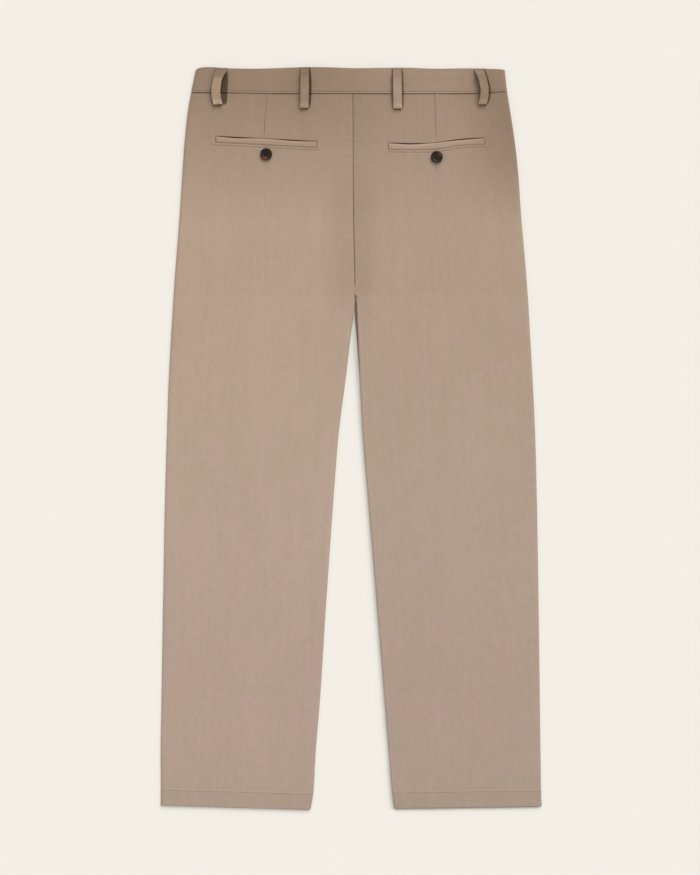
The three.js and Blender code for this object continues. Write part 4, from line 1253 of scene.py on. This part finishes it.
LOOP_TWILL = twill("loop_twill", tone=1.03)
loop_columns = spaced((0, 0.35), (1.4, 1.1), (LOOP_FACE - 1.4, 0.35), (LOOP_FACE, 0)) - LOOP_FACE / 2
for name, loop in BACK_LOOPS.items():
    end = loop["end"]
    stops = ((LOOP_START, 0.35), (LOOP_START + 1.4, 0.8), (end - 8, 0.7), (end - 1.4, 0.3), (end, 0))
    down = spaced(*stops)[:, None]
    points = loop_surface(loop, down, loop_columns)
    from_edge = LOOP_FACE / 2 - np.abs(loop_columns)
    # The foot is folded under itself, which closes the loop down to the cloth there.
    thick = LOOP_THICK + loop["rise"] * LOOP_FOLD * until(end - down, 2.5, 6)
    fullness = rounded(from_edge, 0.8) * rounded(end - down, 1.2) * rounded(down - LOOP_START, 0.8)
    # Painted light and shade on the loop: its top darker, its face lighter lower down and again at the foot,
    # and darker along its edges.
    shade = mix(loop["top_light"], 1.06 * loop["light"], smooth(down, 8, 19))
    shade = shade * mix(1, 1.12, smooth(down, 24, 40))
    shade = shade * (1 - 0.12 * bell(from_edge, 0.5)) * mix(1, 1.22, smooth(down, end - 8, end - 2))
    strip = shell(f"belt_loop_{name}_strip", points, thick, fullness, shade=shade)
    strip.data.materials.append(LOOP_TWILL)
    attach(strip, "root")
    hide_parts(f"belt_loop_{name}")
    tack_across = np.linspace(-4.8, 4.8, 12)
    tacks = [
        loop_surface(loop, np.full_like(tack_across, tack_down), tack_across) for tack_down in
        (end - 2.6, LOOP_START + 2.2)
    ]
    sew(f"belt_loop_{name}_tacks", tacks, pitch=0.7, length=1.7, thread=0.16, rise=0.2, turn=90)
    edge_down = np.linspace(4.5, end - 5, 40)
    edge_lines = [
        loop_surface(loop, edge_down, np.full_like(edge_down, edge)) for edge in
        (LOOP_EDGE_LINE - LOOP_FACE / 2, LOOP_FACE / 2 - LOOP_EDGE_LINE)
    ]
    sew(f"belt_loop_{name}_stitches", edge_lines, pitch=2.6, length=2.2, thread=0.13, rise=0.08)

# The two belt loops on the front are pressed flat between the cloth and the table.
FRONT_LOOP_START = 3.0
FRONT_LOOP_END = 57.0
FRONT_LOOP_THICK = 1.2
for name, middle in FRONT_LOOPS.items():
    down = spaced((FRONT_LOOP_START, 0.4), (FRONT_LOOP_START + 1.6, 1.4), (FRONT_LOOP_END - 1.6, 0.4),
                  (FRONT_LOOP_END, 0))[:, None]
    from_edge = LOOP_FACE / 2 - np.abs(loop_columns)
    from_end = np.minimum(down - FRONT_LOOP_START, FRONT_LOOP_END - down)
    fullness = rounded(from_edge, 0.7) * rounded(from_end, 0.7)
    points = place(middle + loop_columns, down, FRONT_LOOP_THICK + 0 * down)
    strip = shell(f"{name}_strip", points, FRONT_LOOP_THICK, fullness, floor=0.0)
    strip.data.materials.append(LOOP_TWILL)
    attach(strip, "root")
    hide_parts(name)

# Each back pocket has one welt, a strip folded in two. Its fold is the pocket's lower lip and stands a
# little off the mouth, and its raw edges are sewn in below and at both ends.
WELT_THICK = 1.0
WELT_RISE = 0.3
WELT_TWILL = twill("welt_twill", grain=math.pi / 2, tone=1.02)


def welt_surface(across, below, leg):
    """A point of a welt's outer side, this far below the pocket's mouth."""
    down = POCKET_DOWN + below
    lip = 0.35 * bell(below - 1.6, 1.8) * (0.6 + 0.4 * np.sin(across * 0.11))
    sewn = -0.6 * bell(below - WELT_DEPTH, 0.8)
    height = cloth_top(across, down) + 0.7 * ripple(across, down) + WELT_RISE + lip + sewn
    ends = MOUTHS[leg]["across"]
    from_end = np.minimum(across - ends[0], ends[-1] - across)
    height = height - 0.5 * until(from_end, 0, 2.0)
    mouth = curve(MOUTHS[leg], "across", "down", across)
    return place(across, down + (mouth - POCKET_DOWN), height)


for leg in ("left", "right"):
    ends = MOUTHS[leg]["across"]
    across = spaced((ends[0], 0.5), (ends[0] + 2, 1.25), (ends[-1] - 2, 0.5), (ends[-1], 0))[None, :]
    share = spaced((0, 0.035), (0.14, 0.09), (0.86, 0.035), (1, 0))[:, None]
    below = mix(gape(across, leg), WELT_DEPTH + 0.2, share)
    points = welt_surface(across, below, leg)
    from_lip = (below - gape(across, leg)) * np.ones_like(across)
    # A painted highlight along the welt's lip.
    lit_lip = 1 + 0.22 * bell(from_lip - 1.2, 1.4)
    strip = shell(f"pocket_welt_{leg}_strip", points, WELT_THICK, rounded(from_lip, 0.6), shade=lit_lip)
    strip.data.materials.append(WELT_TWILL)
    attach(strip, "root")
    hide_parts(f"pocket_welt_{leg}")
    seam_across = np.linspace(ends[0] + 1, ends[-1] - 1, 60)
    seam = welt_surface(seam_across, np.full_like(seam_across, WELT_DEPTH - 0.1), leg)
    sew(f"welt_stitches_{leg}", [seam], pitch=2.4, length=2.0, thread=0.14, rise=0.05)

# Buttons are turned from dark horn with a polished rim and a dished middle, and sewn on through four holes.
# Each pocket has one below its mouth, and one under the waistband's lap closes the waist, face down.
HORN_DARK = (0.0068, 0.0058, 0.0050)
HORN_GREY = (0.041, 0.0275, 0.0205)
HORN_RED = (0.110, 0.036, 0.016)
HORN_DISH = (0.45, 0.3, 0.25)
HORN_TINT = (1.0, 0.86, 0.72)
DISH_RADIUS = 0.0029
DISH_DEPTH = 0.95
HOLE_RADIUS = 0.95
HOLE_SPACING = 3.2
BUTTON_SIDES = 56


def horn(name, centre, patch):
    """Dark horn with grey streaks and one red-brown patch, given as its place on the button."""
    material, tree = new_material(name)
    where = node(tree, "ShaderNodeTexCoord", {}, {}, output="Object")
    spot = node(tree, "ShaderNodeSeparateXYZ", {}, {"Vector": where})
    x, y = spot - centre[0], spot.output("Y") - centre[1]
    wavy = node(tree, "ShaderNodeTexNoise", {}, {
        "Vector": where, "Scale": 260.0, "Detail": 4.0, "Distortion": 1.4,
    })
    streak = node(tree, "ShaderNodeTexNoise", {}, {
        "Vector": where, "Scale": 520.0, "Detail": 5.0, "Distortion": 3.0,
    })
    away = ((x - patch[0]) ** 2.0 + (y - patch[1]) ** 2.0) ** 0.5
    in_patch = 1.0 - (away + (wavy - 0.5) * 0.004).between(0.0022, 0.0052)
    ground = mix_colours(tree, streak.between(0.45, 0.7), rgba(HORN_DARK), rgba(HORN_GREY))
    tone = mix_colours(tree, in_patch * 0.85, ground, rgba(HORN_RED))
    out = (x * x + y * y) ** 0.5
    in_dish = 1.0 - out.between(DISH_RADIUS - 0.0004, DISH_RADIUS + 0.0003)
    tone = mix_colours(tree, in_dish, tone, rgba(HORN_DISH), "MULTIPLY")
    bump = node(tree, "ShaderNodeBump", {}, {"Strength": 0.12, "Distance": 0.0001, "Height": streak})
    principled(tree, {
        "Base Color": tone, "Roughness": 0.42 + (wavy - 0.5) * 0.12, "Normal": bump,
        "Specular IOR Level": 0.27, "Specular Tint": rgba(HORN_TINT),
    })
    return material


def turned_button(name, radius, thick):
    """A lathe profile turned round the axis and pierced with four holes, face up with its back at zero."""
    rim, dish = 2.5, DISH_DEPTH
    profile = [(0.0, 0.0), (radius - 1.6, 0.0), (radius - 0.6, 0.25), (radius - 0.12, 0.85), (radius, 1.5)]
    profile += [(radius - 1.0 + 1.0 * math.cos(a), thick - 1.0 + 1.0 * math.sin(a)) for a in
                np.radians(np.linspace(8, 90, 7))]
    floor = thick - dish
    profile += [(radius - 1.5, thick - 0.02), (radius - 2.0, thick - 0.2), (radius - rim, floor + 0.22)]
    profile += [(radius - rim - 0.6, floor + 0.03), (radius - rim - 1.6, floor), (0.0, floor)]
    turns = np.linspace(0, 2 * math.pi, BUTTON_SIDES, endpoint=False)
    points = []
    faces = []
    rings = []
    for r, h in profile:
        if r == 0.0:
            rings.append([len(points)])
            points.append((0.0, 0.0, h))
        else:
            rings.append(list(range(len(points), len(points) + BUTTON_SIDES)))
            points += [(r * math.cos(a), r * math.sin(a), h) for a in turns]
    for low, high in zip(rings, rings[1:]):
        for i in range(BUTTON_SIDES):
            j = (i + 1) % BUTTON_SIDES
            if len(low) == 1:
                faces.append((low[0], high[j], high[i]))
            elif len(high) == 1:
                faces.append((low[i], low[j], high[0]))
            else:
                faces.append((low[i], low[j], high[j], high[i]))
    mesh = bpy.data.meshes.new(name)
    mesh.from_pydata(np.array(points) * MM, [], faces)
    disc = new_object(name, mesh)
    drills = bpy.data.meshes.new(name + "_drills")
    drill_points = []
    drill_faces = []
    sides = 18
    around = np.linspace(0, 2 * math.pi, sides, endpoint=False)
    for sx, sy in ((-1, -1), (-1, 1), (1, -1), (1, 1)):
        base = len(drill_points)
        upper = base + sides
        x, y = sx * HOLE_SPACING / 2, sy * HOLE_SPACING / 2
        ring = [(x + HOLE_RADIUS * math.cos(a), y + HOLE_RADIUS * math.sin(a)) for a in around]
        drill_points += [(*spot, h) for h in (-1.0, thick + 1.0) for spot in ring]
        for i in range(sides):
            j = (i + 1) % sides
            drill_faces.append((base + i, base + j, upper + j, upper + i))
        drill_faces += [tuple(reversed(range(base, upper))), tuple(range(upper, upper + sides))]
    drills.from_pydata(np.array(drill_points) * MM, [], drill_faces)
    drill = new_object(name + "_drills", drills)
    cut = disc.modifiers.new("holes", "BOOLEAN")
    cut.operation = "DIFFERENCE"
    cut.solver = "EXACT"
    cut.object = drill
    graph = bpy.context.evaluated_depsgraph_get()
    graph.update()
    pierced = bpy.data.meshes.new_from_object(disc.evaluated_get(graph), depsgraph=graph)
    pierced.name = name
    disc.modifiers.remove(cut)
    bpy.data.objects.remove(drill)
    disc.data = pierced
    pierced.polygons.foreach_set("use_smooth", np.ones(len(pierced.polygons), dtype=bool))
    pierced.set_sharp_from_angle(angle=math.radians(35))
    return disc


def set_button(disc, centre, low, flipped):
    """Puts a button's place into its mesh."""
    turn = -1 if flipped else 1
    points = np.array([vertex.co for vertex in disc.data.vertices])
    points = points * (1, turn, turn) + (centre[0], centre[1], low)
    disc.data.vertices.foreach_set("co", points.astype(np.float32).ravel())
    disc.data.update()


def cross_threads(name, centre, level, flipped):
    """Two crossed stitches that hold a button on."""
    spread = HOLE_SPACING / 2
    rise = -0.35 if flipped else 0.35
    lines = []
    for sy in (-1, 1):
        for shift in (-0.22, 0.0, 0.22):
            t = np.linspace(-1, 1, 9)
            lines.append(np.stack([
                centre[0] / MM + t * spread + shift * sy, centre[1] / MM + sy * t * spread + shift,
                level / MM + rise * (1 - t * t) * 1.6 - (1 - abs(rise)) * 0.4 * t * t * np.sign(rise),
            ], axis=-1))
    return sew(name, lines, pitch=0.35, length=0.6, thread=0.2, rise=0.02,
               material=BUTTON_THREAD)


BUTTON_THREAD = sewing_thread("button_thread", (0.024, 0.019, 0.016))
BUTTONS = {
    "pocket_button_left": dict(radius=8.25, thick=3.2, patch=(-0.0008, -0.0068), flipped=False),
    "pocket_button_right": dict(radius=8.25, thick=3.2, patch=(0.0046, 0.0054), flipped=False),
    "waist_button": dict(radius=8.5, thick=2.5, patch=(-0.005, 0.004), flipped=True),
}
for name, kind in BUTTONS.items():
    low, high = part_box(name)
    centre = ((low[0] + high[0]) / 2, (low[1] + high[1]) / 2)
    disc = turned_button(f"{name}_disc", kind["radius"], kind["thick"])
    set_button(disc, centre, high[2] if kind["flipped"] else low[2], kind["flipped"])
    disc.data.materials.append(horn(f"{name}_horn", centre, kind["patch"]))
    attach(disc, "root")
    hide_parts(name)
    dish = DISH_DEPTH * MM
    level = low[2] + dish if kind["flipped"] else high[2] - dish
    cross_threads(f"{name}_threads", centre, level, kind["flipped"])
